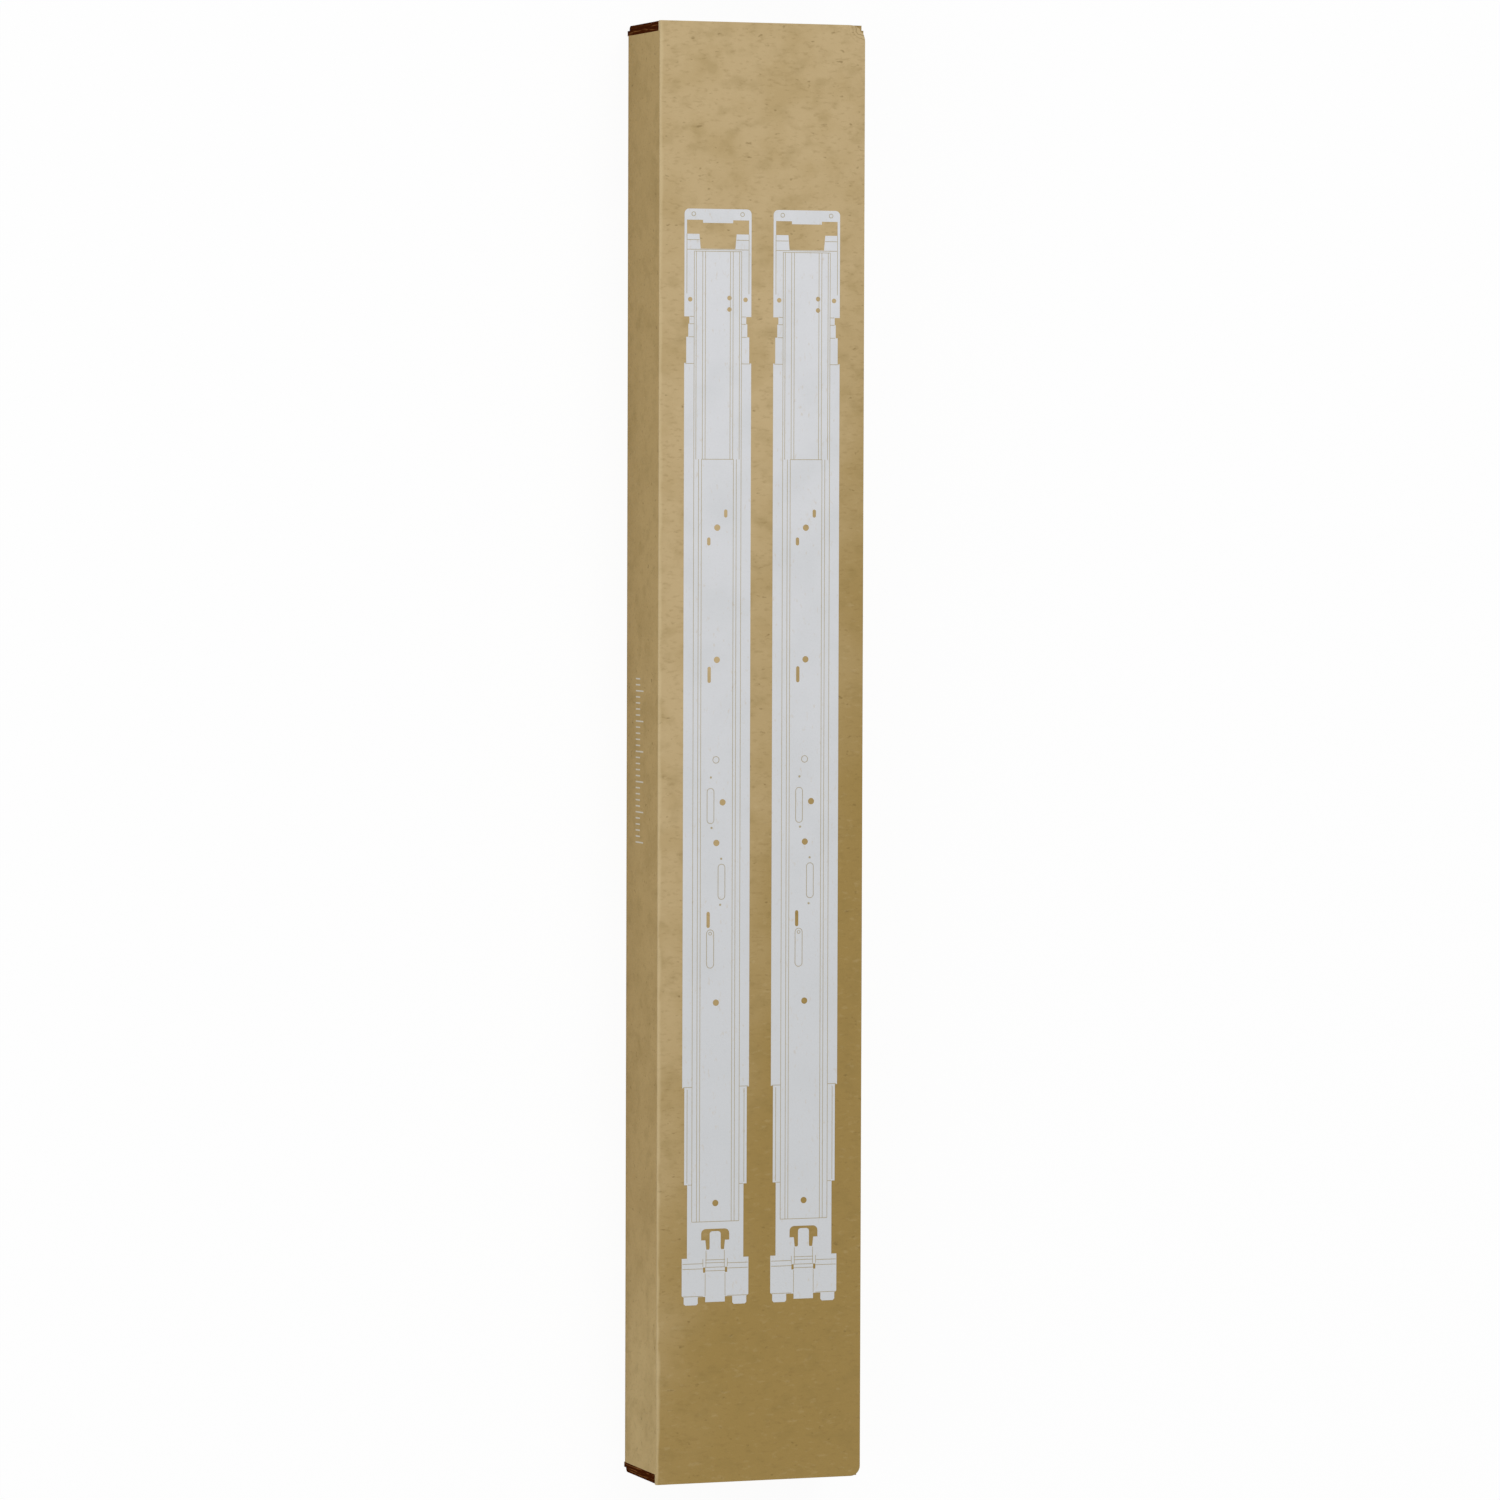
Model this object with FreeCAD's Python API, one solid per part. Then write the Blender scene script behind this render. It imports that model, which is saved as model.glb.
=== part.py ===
import FreeCAD, Part
import os

# A pair of ball-bearing server rails, packed side by side in a flat mailer carton.
# Frame, millimetres: X across the pair, -Y towards the end that faces the front of a rack,
# +Z up.  The carton lies on its floor panel with its printed lid on top.  The origin is at
# the middle of its footprint.  Along a rail, u runs across (X), v along (Y) and w up (Z).

V = FreeCAD.Vector
os.makedirs("parts", exist_ok=True)

# ---------------------------------------------------------------- driving dimensions, mm
# The rails
RAIL_HEIGHT = 43.6            # one rack unit less its clearance
RAIL_LENGTH = 675.0           # front pegs to rear end bar
STEEL = 1.5
OUTER_DEPTH = 13.0            # outer channel, back of web to lip
BALL_GAP = 0.12
OUTER_BALL_D = 4.0
INNER_BALL_D = 3.0
CAGE_SHEET = 0.6
STRAP_SHEET = 0.4
STRAP_GAP = 0.25              # a cage's cross strap to the webs beside it
LIP_GAP = 0.4                 # a lip's edge to the flange that it holds in
LIP_STEP = 0.3                # intermediate lip below the outer lip
INNER_SET_DOWN = 1.9          # inner member's face below the outer lip
FIT_GAP = 0.3                 # loose pieces next to a panel or to each other

# Ends of the members, measured in from the ends of the rail
OUTER_FRONT_INSET = 134.5
OUTER_REAR_INSET = 94.5
MIDDLE_FRONT_INSET = 51.5
MIDDLE_REAR_INSET = 24.5
INNER_FRONT_INSET = 52.5
INNER_REAR_INSET = 153.5
OUTER_CAGE_INSET = 183.0      # cage behind the front end of the outer member
OUTER_CAGE_LENGTH = 150.0
OUTER_BALL_PITCH = 12.0
INNER_CAGE_INSET = 175.0      # cage behind the front end of the inner member
INNER_CAGE_LENGTH = 116.0
INNER_BALL_PITCH = 10.0

# Holes and slots of the members, measured from their ends
SCREW_CLEAR_D = 5.3
OUTER_HOLE_INSETS = (83.0, 43.0)
MIDDLE_HOLE_INSETS = (36.0, 33.0)
MIDDLE_SLOT_INSETS = (76.0, 108.0)
MIDDLE_SLOT_WIDTH = 4.0
MIDDLE_SLOT_LENGTH = 14.0
INNER_HOLE_D = 4.3
INNER_HOLES = ((0, 42.0), (0, 123.3), (4.0, 211.1), (0, 236.1), (0, 334.7), (0, 458.6))
INNER_SLOT_WIDTH = 2.4
INNER_SLOTS = ((5.5, 33.3, 5.0), (-5.5, 50.5, 5.0), (-5.0, 132.5, 10.0), (-5.2, 283.5, 10.0))
WINDOW_WIDTH = 4.8
WINDOW_LENGTH = 22.0
INNER_WINDOWS = ((-3.9, 213.3), (3.4, 260.1))
INNER_DOT_D = 1.6
INNER_DOTS = ((-3.7, 195.7), (-3.2, 226.8), (3.2, 245.9), (2.6, 274.3))
INNER_CORNER = 3.0
RELEASE_U = -3.9
RELEASE_INSET = 292.0
RELEASE_PIN_D = 2.2
RELEASE_LENGTH = 24.0
RELEASE_WIDTH = 5.0
RELEASE_SHEET = 1.0
RELEASE_GAP = 0.15

# Front bracket, latch and pegs
EIA_PITCH = 31.75             # rack holes either side of the middle of a unit
PEG_D = 9.2                   # for the 9.5 mm square holes of a rack post
PEG_LENGTH = 5.0
PEG_NOSE = 1.2
BACK_DEPTH = 9.0              # latch blocks behind the rail's web
PEG_RISE = 1.0                # pegs above the back of the latch blocks
FRONT_PLATE_THICKNESS = 2.0
FRONT_PLATE_OVERLAP = 53.0    # plate behind the outer member
FRONT_PLATE_INSET = 29.0
FRONT_FLANGE_LENGTH = 60.0
FRONT_FLANGE_SETBACK = 1.4
RIVET_D = 4.0
RIVET_HEAD_D = 7.0
RIVET_HEAD = 0.15
RIVET_U = 9.0
RIVET_INSETS = (13.0, 38.0)
CUT_HALF = 9.2                # cut-out in the front plate around the lever's tail
CUT_WIDE_LENGTH = 7.0         # wide part, in front of which it narrows to the lever's slot
CUT_CORNER = 3.0
CUT_MARGIN = 1.5
LATCH_TOP_GAP = 0.5
LEDGE_LENGTH = 14.0
BLOCK_CORNER = 1.2
LEVER_SLOT_HALF = 6.9         # half the slot that the lever swings in
LEVER_SIDE_GAP = 0.5
LEVER_INSET = 1.7
LEVER_TAIL_HALF = 3.6
LEVER_TAIL_LENGTH = 16.5
LEVER_TAIL_STEP = 1.0
LEVER_TAIL_CORNER = 1.8
LEVER_THICKNESS = 3.0
LEVER_HOOK = 3.0
BOSS_R = 2.9
LATCH_PIN_INSET = 9.5
LATCH_PIN_D = 3.0
LATCH_PIN_GAP = 0.06
LATCH_PIN_LENGTH = 24.0
SPRING_WIRE_D = 0.8
SPRING_LENGTH = 5.2
SPRING_R = 2.35
COIL_GAP = 0.1

# Rear bracket, hooks and guide stud
REAR_OVERLAP = 223.0          # sliding strip behind the outer member
REAR_SLIDE_SETBACK = 3.3      # narrower than the rail, on each side
REAR_STEP_ONE_SETBACK = 1.3
REAR_STEP_TWO_SETBACK = 2.6
REAR_STEP_ONE_GAP = 0.8
REAR_STEP_TWO_LENGTH = 8.0
REAR_NECK_LENGTH = 4.5
REAR_HEAD_INSET = 66.0
REAR_HEAD_LENGTH = 44.5
REAR_ARM_WIDTH = 1.6
REAR_BAR_DEPTH = 6.8
REAR_TOP_W = 6.5
REAR_CORNER = 3.0
REAR_HOLE_D = 3.4
REAR_HOLES = ((-18.0, 10.5), (18.0, 10.5), (7.5, 11.5), (7.5, 4.5))
REAR_SCREW_W = 2.0
SLIDE_GAP = 0.4               # rear bracket to the outer member's back
REAR_SLOT_MARGIN = 20.0
STUD_INSET = 7.0
STUD_NECK_D = 4.8
STUD_HEAD_D = 9.0
STUD_HEAD = 1.6
STUD_GAP = 0.1
HOOK_INSET = 15.4
HOOK_LENGTH = 17.6
HOOK_WIDTH = 7.8

# The carton and its packing
BOARD = 2.5                   # corrugated board
END_ROOM = 17.5               # past the rails, at each end
SIDE_SPACER = 5.4
SPACER_GAP = 0.5              # a rail to the packing beside and above it
DIVIDER_THICKNESS = 1.4
DIVIDER_GAP = 0.5
PAD_THICKNESS = 7.5           # foam pad on the floor panel
BACK_GAP = 0.3
COVER_PAD_THICKNESS = 2.5
TRAY_HEIGHT = 11.9
TRAY_WALL = 1.0
TRAY_WIDTH = 80.0
TRAY_LENGTH = 120.0
LID_CORNER_REAR = 8.0         # rounded corners on the lid's opening edge
LID_CORNER_FRONT = 5.0
END_FOLD_RADIUS = 2.0         # rounded fold under each end wall
SIDE_FOLD_RADIUS = 1.5
END_STEP = 1.0                # end walls stand in from the side walls' faces
FLAP_DEPTH = 13.5
FLAP_CORNER = 8.0
FLAP_SETBACK = 1.0            # flap to the inside of the right wall
FLAP_CLEAR = 1.0              # cover pad to the inside of the flap
WINDOW_SIDE_GAP = 1.7         # end window, past the rails on each side
WINDOW_LOW_GAP = 0.5
WINDOW_HIGH_GAP = 1.0
WINDOW_CORNER = 4.0

# The chassis screws in the tray
SCREW_D = 5.0
SCREW_LENGTH = 10.0
SCREW_HEAD_D = 9.0
SCREW_HEAD = 2.8
SCREW_RECESS_D = 3.4
SCREW_COLUMNS = 4
SCREW_STEP_X = 16.0
SCREW_STEP_Y = 36.0
REST_GAP = 0.05

# ---------------------------------------------------------------- sizes that follow
HALF_RAIL = RAIL_HEIGHT / 2
HALF_LENGTH = RAIL_LENGTH / 2
OUTER_FRONT = -HALF_LENGTH + OUTER_FRONT_INSET
OUTER_REAR = HALF_LENGTH - OUTER_REAR_INSET
MIDDLE_FRONT = -HALF_LENGTH + MIDDLE_FRONT_INSET
MIDDLE_REAR = HALF_LENGTH - MIDDLE_REAR_INSET
INNER_FRONT = -HALF_LENGTH + INNER_FRONT_INSET
INNER_REAR = HALF_LENGTH - INNER_REAR_INSET
OUTER_CAGE_FRONT = OUTER_FRONT + OUTER_CAGE_INSET
INNER_CAGE_FRONT = INNER_FRONT + INNER_CAGE_INSET

# Cross-section of the telescoping members, worked outwards in.
OUTER_IN = HALF_RAIL - STEEL
MIDDLE_OUT = OUTER_IN - OUTER_BALL_D - 2 * BALL_GAP
MIDDLE_IN = MIDDLE_OUT - STEEL
INNER_OUT = MIDDLE_IN - INNER_BALL_D - 2 * BALL_GAP
INNER_IN = INNER_OUT - STEEL
MIDDLE_BACK = STEEL + 2 * STRAP_GAP + STRAP_SHEET
MIDDLE_WEB = MIDDLE_BACK + STEEL
MIDDLE_DEPTH = OUTER_DEPTH - LIP_STEP
INNER_FACE = OUTER_DEPTH - INNER_SET_DOWN
INNER_EDGE = MIDDLE_WEB + 2 * STRAP_GAP + STRAP_SHEET
OUTER_BALL_U = (OUTER_IN + MIDDLE_OUT) / 2
INNER_BALL_U = (MIDDLE_IN + INNER_OUT) / 2
OUTER_BALL_W = OUTER_DEPTH / 2
INNER_BALL_W = (MIDDLE_WEB + MIDDLE_DEPTH - STEEL) / 2
RELEASE_V = INNER_REAR - RELEASE_INSET

# Front end
FRONT_PLATE_REAR = OUTER_FRONT + FRONT_PLATE_OVERLAP
FRONT_PLATE_FRONT = -HALF_LENGTH + FRONT_PLATE_INSET
FRONT_FLANGE_REAR = OUTER_FRONT - FIT_GAP
FRONT_FLANGE_FRONT = OUTER_FRONT - FRONT_FLANGE_LENGTH
FRONT_FLANGE_HALF = HALF_RAIL - FRONT_FLANGE_SETBACK
RIVET_PLACES = [(side * RIVET_U, OUTER_FRONT + inset) for inset in RIVET_INSETS for side in (-1, 1)]
LATCH_FRONT = -HALF_LENGTH + PEG_LENGTH
LEVER_HALF = LEVER_SLOT_HALF - LEVER_SIDE_GAP
LEVER_FRONT = -HALF_LENGTH + LEVER_INSET
LEVER_TAIL_REAR = FRONT_PLATE_FRONT + LEVER_TAIL_LENGTH
CUT_REAR = LEVER_TAIL_REAR + CUT_MARGIN
LATCH_PIN_V = FRONT_PLATE_FRONT - LATCH_PIN_INSET
LATCH_PIN_W = -BACK_DEPTH / 2
PEG_W = -BACK_DEPTH + PEG_D / 2 + PEG_RISE

# Rear end
REAR_LOW = -SLIDE_GAP - FRONT_PLATE_THICKNESS
REAR_STRIP_FRONT = OUTER_REAR - REAR_OVERLAP
REAR_STEP_ONE = OUTER_REAR + REAR_STEP_ONE_GAP
REAR_HEAD = HALF_LENGTH - REAR_HEAD_INSET
REAR_NECK = REAR_HEAD - REAR_NECK_LENGTH
REAR_STEP_TWO = REAR_NECK - REAR_STEP_TWO_LENGTH
REAR_SLOT_FRONT = REAR_STRIP_FRONT + REAR_SLOT_MARGIN
REAR_SLOT_REAR = OUTER_REAR + STUD_INSET
STUD_V = OUTER_REAR - STUD_INSET
HOOK_REAR = HALF_LENGTH - HOOK_INSET
HOOK_FRONT = HOOK_REAR - HOOK_LENGTH

# Levels and widths in the carton
RAIL_SPACING = RAIL_HEIGHT + DIVIDER_THICKNESS + 2 * DIVIDER_GAP
RAIL_OUTSIDE = RAIL_SPACING / 2 + HALF_RAIL
WALL_INNER = RAIL_OUTSIDE + SPACER_GAP + SIDE_SPACER + FIT_GAP
HALF_W = WALL_INNER + BOARD
END_INNER = HALF_LENGTH + END_ROOM
HALF_L = END_INNER + 2 * BOARD
PAD_TOP = BOARD + PAD_THICKNESS
RAIL_BACK_Z = PAD_TOP + BACK_GAP + BACK_DEPTH
RAIL_TOP_Z = RAIL_BACK_Z + OUTER_DEPTH
COVER_Z = RAIL_TOP_Z + SPACER_GAP
TRAY_Z = COVER_Z + COVER_PAD_THICKNESS
TRAY_TOP = TRAY_Z + TRAY_HEIGHT
LID_UNDER = TRAY_TOP + FIT_GAP
CARTON_HEIGHT = LID_UNDER + BOARD
FLAP_INNER = WALL_INNER - FLAP_SETBACK - BOARD


# ---------------------------------------------------------------- helpers
def box(x0, x1, y0, y1, z0, z1):
    """Box between two opposite corners."""
    return Part.makeBox(x1 - x0, y1 - y0, z1 - z0, V(x0, y0, z0))


def sym_box(half, y0, y1, z0, z1):
    """Box centred across, from -half to +half."""
    return box(-half, half, y0, y1, z0, z1)


def rod_x(radius, x0, x1, y, z):
    return Part.makeCylinder(radius, x1 - x0, V(x0, y, z), V(1, 0, 0))


def rod_y(radius, y0, y1, x, z):
    return Part.makeCylinder(radius, y1 - y0, V(x, y0, z), V(0, 1, 0))


def rod_z(radius, z0, z1, x, y):
    return Part.makeCylinder(radius, z1 - z0, V(x, y, z0), V(0, 0, 1))


def slot_z(width, length, z0, z1, x, y):
    """Upright cutter for a slot with round ends, its length along Y."""
    radius = width / 2
    reach = length / 2 - radius
    body = box(x - radius, x + radius, y - reach, y + reach, z0, z1)
    return join([body, rod_z(radius, z0, z1, x, y - reach), rod_z(radius, z0, z1, x, y + reach)])


def join(shapes):
    body = shapes[0].multiFuse(shapes[1:]) if len(shapes) > 1 else shapes[0]
    return body.removeSplitter()


def cut(body, cutters):
    return body.cut(Part.makeCompound(cutters)).removeSplitter()


def both_sides(shape):
    """A shape and its mirror image across the middle of the rail."""
    return [shape, shape.mirror(V(0, 0, 0), V(1, 0, 0))]


def round_edges(body, radius, wanted):
    edges = [edge for edge in body.Edges if wanted(edge)]
    return body.makeFillet(radius, edges)


def upright(edge):
    bounds = edge.BoundBox
    return bounds.ZLength > 0.5 and bounds.XLength < 0.01 and bounds.YLength < 0.01


def at_side(edge, half):
    """Whether an upright edge stands at the outside of a piece of this half-width."""
    return upright(edge) and abs(abs(edge.BoundBox.XMin) - half) < 0.01


def write(name, shapes):
    """Write one named piece, or one group of identical pieces."""
    solids = []
    for shape in shapes:
        solids.extend(shape.Solids)
    group = solids[0] if len(solids) == 1 else Part.makeCompound(solids)
    if not group.isValid():
        raise ValueError("invalid shape: " + name)
    group.exportStep(os.path.join("parts", name + ".step"))
    print(f"{name:30s} solids {len(solids):3d}  volume {group.Volume:10.1f}")


# ---------------------------------------------------------------- the carton
def carton_floor():
    """Floor panel, with a rounded fold along each end."""
    panel = box(-HALF_W, HALF_W, -END_INNER, END_INNER, 0, BOARD)
    return round_edges(panel, SIDE_FOLD_RADIUS, is_side_fold)


def is_side_fold(edge):
    return edge.BoundBox.YLength > END_INNER and edge.BoundBox.ZMax < 0.01


def carton_side(sign):
    wall = box(WALL_INNER, HALF_W, -END_INNER, END_INNER, BOARD, LID_UNDER)
    return wall if sign > 0 else wall.mirror(V(0, 0, 0), V(1, 0, 0))


def end_window():
    """Cutter for the window that each rail is drawn out through."""
    half = RAIL_OUTSIDE + WINDOW_SIDE_GAP
    low = PAD_TOP + BACK_GAP - WINDOW_LOW_GAP
    high = RAIL_TOP_Z + WINDOW_HIGH_GAP
    reach = HALF_L + BOARD
    cutter = box(-half, half, -reach, reach, low, high)
    return round_edges(cutter, WINDOW_CORNER, lambda e: e.BoundBox.YLength > reach and e.BoundBox.ZMin > low + 1)


def end_ply(sign, layer):
    """One ply of an end wall that is rolled over double."""
    near = END_INNER + layer * BOARD
    base = 0 if layer else BOARD
    half = HALF_W - layer * END_STEP
    ply = sym_box(half, near, near + BOARD, base, LID_UNDER)
    if layer:
        ply = round_edges(ply, END_FOLD_RADIUS, lambda e: outer_bottom_edge(e, near + BOARD))
    else:
        ply = join([ply, sym_box(half, near, near + BOARD, 0, BOARD)])
    ply = cut(ply, [end_window()])
    return ply if sign > 0 else ply.mirror(V(0, 0, 0), V(0, 1, 0))


def outer_bottom_edge(edge, y):
    bounds = edge.BoundBox
    return bounds.XLength > 1 and bounds.ZMax < 0.01 and bounds.YMin > y - 0.01


def carton_lid():
    """Lid panel, hinged along the left edge, with rounded corners on its opening edge."""
    panel = box(-HALF_W, HALF_W, -HALF_L, HALF_L, LID_UNDER, CARTON_HEIGHT)
    panel = round_edges(panel, LID_CORNER_REAR, lambda e: at_corner(e, HALF_W, HALF_L))
    return round_edges(panel, LID_CORNER_FRONT, lambda e: at_corner(e, HALF_W, -HALF_L))


def at_corner(edge, x, y):
    """Whether an upright edge stands at one corner."""
    bounds = edge.BoundBox
    return upright(edge) and abs(bounds.XMin - x) < 0.01 and abs(bounds.YMin - y) < 0.01


def tuck_flap():
    """Flap that tucks inside the right wall, rounded at its lower corners."""
    reach = END_INNER - LID_CORNER_REAR
    low = LID_UNDER - FLAP_DEPTH
    flap = box(FLAP_INNER, FLAP_INNER + BOARD, -reach, reach, low, LID_UNDER)
    return round_edges(flap, FLAP_CORNER, lambda e: e.BoundBox.XLength > BOARD / 2 and e.BoundBox.ZMax < low + 0.01
                       and e.BoundBox.YLength < 0.01)


def packing():
    """Foam floor pad, side spacers, centre divider, cover pad and end blocks."""
    reach = END_INNER - FIT_GAP
    inside = WALL_INNER - FIT_GAP
    write("floor_pad", [box(-inside, inside, -reach, reach, BOARD, PAD_TOP)])
    spacer = box(RAIL_OUTSIDE + SPACER_GAP, inside, -reach, reach, PAD_TOP, COVER_Z)
    write("side_spacers", both_sides(spacer))
    divider = sym_box(DIVIDER_THICKNESS / 2, -reach, reach, PAD_TOP, COVER_Z)
    write("centre_divider", [divider])
    cover = sym_box(FLAP_INNER - FLAP_CLEAR, -reach, reach, COVER_Z, TRAY_Z)
    write("cover_pad", [cover])
    block = sym_box(TRAY_WIDTH / 2, TRAY_LENGTH / 2 + FIT_GAP, reach, TRAY_Z, TRAY_TOP)
    write("fill_blocks", [block, block.mirror(V(0, 0, 0), V(0, 1, 0))])


def accessory_tray():
    """Shallow open card tray on the cover pad."""
    outer = sym_box(TRAY_WIDTH / 2, -TRAY_LENGTH / 2, TRAY_LENGTH / 2, TRAY_Z, TRAY_TOP)
    reach = TRAY_LENGTH / 2 - TRAY_WALL
    hollow = sym_box(TRAY_WIDTH / 2 - TRAY_WALL, -reach, reach, TRAY_Z + TRAY_WALL, TRAY_TOP + 1)
    return cut(outer, [hollow])


def tray_screws():
    """Pan-head screws that fix the inner members to a chassis, lying in the tray."""
    screws = []
    axis_z = TRAY_Z + TRAY_WALL + SCREW_HEAD_D / 2 + REST_GAP
    for column in range(SCREW_COLUMNS):
        for row in (-1, 1):
            x = (column - (SCREW_COLUMNS - 1) / 2) * SCREW_STEP_X
            y = row * SCREW_STEP_Y / 2
            head = rod_y(SCREW_HEAD_D / 2, y, y + SCREW_HEAD, x, axis_z)
            shank = rod_y(SCREW_D / 2, y - SCREW_LENGTH, y, x, axis_z)
            recess = rod_y(SCREW_RECESS_D / 2, y + SCREW_HEAD / 2, y + SCREW_HEAD, x, axis_z)
            screws.append(cut(join([head, shank]), [recess]))
    return screws


# ---------------------------------------------------------------- telescoping members
def channel(half, depth_low, depth_high, lip_edge, v0, v1):
    """Lipped steel channel, open upwards, from half-width, web level and lip level."""
    web = sym_box(half, v0, v1, depth_low, depth_low + STEEL)
    flange = box(half - STEEL, half, v0, v1, depth_low, depth_high)
    lip = box(lip_edge, half, v0, v1, depth_high - STEEL, depth_high)
    return join([web] + both_sides(flange) + both_sides(lip))


def hole_line(front, rear, insets):
    """Places near the front and the rear end of a member."""
    return (front + insets[0], rear - insets[1])


def outer_member():
    body = channel(HALF_RAIL, 0, OUTER_DEPTH, MIDDLE_OUT + LIP_GAP, OUTER_FRONT, OUTER_REAR)
    cutters = [rod_z(SCREW_CLEAR_D / 2, -1, STEEL + 1, 0, v)
               for v in hole_line(OUTER_FRONT, OUTER_REAR, OUTER_HOLE_INSETS)]
    cutters += [rod_z(RIVET_D / 2, -1, STEEL + 1, u, v) for u, v in RIVET_PLACES]
    return cut(body, cutters)


def intermediate_member():
    body = channel(MIDDLE_OUT, MIDDLE_BACK, MIDDLE_DEPTH, INNER_OUT + LIP_GAP, MIDDLE_FRONT, MIDDLE_REAR)
    low = MIDDLE_BACK - 1
    high = MIDDLE_WEB + 1
    cutters = [rod_z(SCREW_CLEAR_D / 2, low, high, 0, v)
               for v in hole_line(MIDDLE_FRONT, MIDDLE_REAR, MIDDLE_HOLE_INSETS)]
    cutters += [slot_z(MIDDLE_SLOT_WIDTH, MIDDLE_SLOT_LENGTH, low, high, 0, v)
                for v in hole_line(MIDDLE_FRONT, MIDDLE_REAR, MIDDLE_SLOT_INSETS)]
    return cut(body, cutters)


def inner_member():
    """Inner member, web up, with its chassis holes, slots and windows."""
    web = sym_box(INNER_OUT, INNER_FRONT, INNER_REAR, INNER_FACE - STEEL, INNER_FACE)
    flange = box(INNER_IN, INNER_OUT, INNER_FRONT, INNER_REAR, INNER_EDGE, INNER_FACE)
    body = join([web] + both_sides(flange))
    body = round_edges(body, INNER_CORNER, lambda e: at_side(e, INNER_OUT))
    low = INNER_FACE - STEEL - 1
    high = INNER_FACE + 1
    cutters = [rod_z(INNER_HOLE_D / 2, low, high, u, INNER_REAR - inset) for u, inset in INNER_HOLES]
    cutters += [slot_z(INNER_SLOT_WIDTH, length, low, high, u, INNER_REAR - inset)
                for u, inset, length in INNER_SLOTS]
    cutters += [slot_z(WINDOW_WIDTH, WINDOW_LENGTH, low, high, u, INNER_REAR - inset) for u, inset in INNER_WINDOWS]
    cutters += [rod_z(INNER_DOT_D / 2, low, high, u, INNER_REAR - inset) for u, inset in INNER_DOTS]
    cutters.append(rod_z(RELEASE_PIN_D / 2, low, high, RELEASE_U, RELEASE_V))
    return cut(body, cutters)


def ball_places(front, length, pitch):
    count = int((length - pitch) / pitch) + 1
    first = front + (length - (count - 1) * pitch) / 2
    return [first + pitch * index for index in range(count)]


def ball_row(diameter, u, w, places):
    balls = []
    for v in places:
        balls.append(Part.makeSphere(diameter / 2, V(-u, v, w)))
        balls.append(Part.makeSphere(diameter / 2, V(u, v, w)))
    return balls


def ball_cage(u, w, strap_low, top, diameter, front, length, pitch):
    """Retainer: a strip down each raceway, joined by straps across the web."""
    strip = box(u - CAGE_SHEET / 2, u + CAGE_SHEET / 2, front, front + length, strap_low, top)
    places = ball_places(front, length, pitch)
    holes = [rod_x(diameter / 2 + BALL_GAP, u - 1, u + 1, v, w) for v in places]
    strip = cut(strip, holes)
    strap_width = 2 * pitch
    straps = []
    for v in (front, front + length - strap_width):
        straps.append(sym_box(u, v, v + strap_width, strap_low, strap_low + STRAP_SHEET))
    return join(both_sides(strip) + straps)


def outer_ball_cage():
    return ball_cage(OUTER_BALL_U, OUTER_BALL_W, STEEL + STRAP_GAP, OUTER_DEPTH - 2 * STEEL,
                     OUTER_BALL_D, OUTER_CAGE_FRONT, OUTER_CAGE_LENGTH, OUTER_BALL_PITCH)


def outer_balls():
    places = ball_places(OUTER_CAGE_FRONT, OUTER_CAGE_LENGTH, OUTER_BALL_PITCH)
    return ball_row(OUTER_BALL_D, OUTER_BALL_U, OUTER_BALL_W, places)


def inner_ball_cage():
    return ball_cage(INNER_BALL_U, INNER_BALL_W, MIDDLE_WEB + STRAP_GAP, MIDDLE_DEPTH - 2 * STEEL,
                     INNER_BALL_D, INNER_CAGE_FRONT, INNER_CAGE_LENGTH, INNER_BALL_PITCH)


def inner_balls():
    places = ball_places(INNER_CAGE_FRONT, INNER_CAGE_LENGTH, INNER_BALL_PITCH)
    return ball_row(INNER_BALL_D, INNER_BALL_U, INNER_BALL_W, places)


# ---------------------------------------------------------------- brackets, latch and small parts


def front_bracket():
    """Plate riveted behind the outer member, with side flanges and the lever's cut-out."""
    half = FRONT_FLANGE_HALF
    plate = sym_box(half - FRONT_PLATE_THICKNESS, FRONT_PLATE_FRONT, FRONT_PLATE_REAR, -FRONT_PLATE_THICKNESS, 0)
    foot = sym_box(half, FRONT_FLANGE_FRONT, FRONT_FLANGE_REAR, -FRONT_PLATE_THICKNESS, 0)
    flange = box(half - STEEL, half, FRONT_FLANGE_FRONT, FRONT_FLANGE_REAR, -FRONT_PLATE_THICKNESS,
                 OUTER_DEPTH - STEEL)
    body = join([plate, foot] + both_sides(flange))
    low = -FRONT_PLATE_THICKNESS - 1
    neck_rear = CUT_REAR - CUT_WIDE_LENGTH
    wide = sym_box(CUT_HALF, neck_rear, CUT_REAR, low, 1)
    wide = round_edges(wide, CUT_CORNER, lambda e: upright(e) and e.BoundBox.YMax > CUT_REAR - 0.01)
    cutters = [wide, sym_box(LEVER_SLOT_HALF, FRONT_PLATE_FRONT - 1, neck_rear + 1, low, 1)]
    cutters += [rod_z(RIVET_D / 2, low, 1, u, v) for u, v in RIVET_PLACES]
    return cut(body, cutters)


def rivets():
    """Flush rivets that hold the front bracket to the outer member."""
    pieces = []
    for u, v in RIVET_PLACES:
        shank = rod_z(RIVET_D / 2, -FRONT_PLATE_THICKNESS, STEEL, u, v)
        head = rod_z(RIVET_HEAD_D / 2, STEEL, STEEL + RIVET_HEAD, u, v)
        tail = rod_z(RIVET_HEAD_D / 2, -FRONT_PLATE_THICKNESS - 2 * RIVET_HEAD, -FRONT_PLATE_THICKNESS, u, v)
        pieces.append(join([shank, head, tail]))
    return pieces


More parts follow.
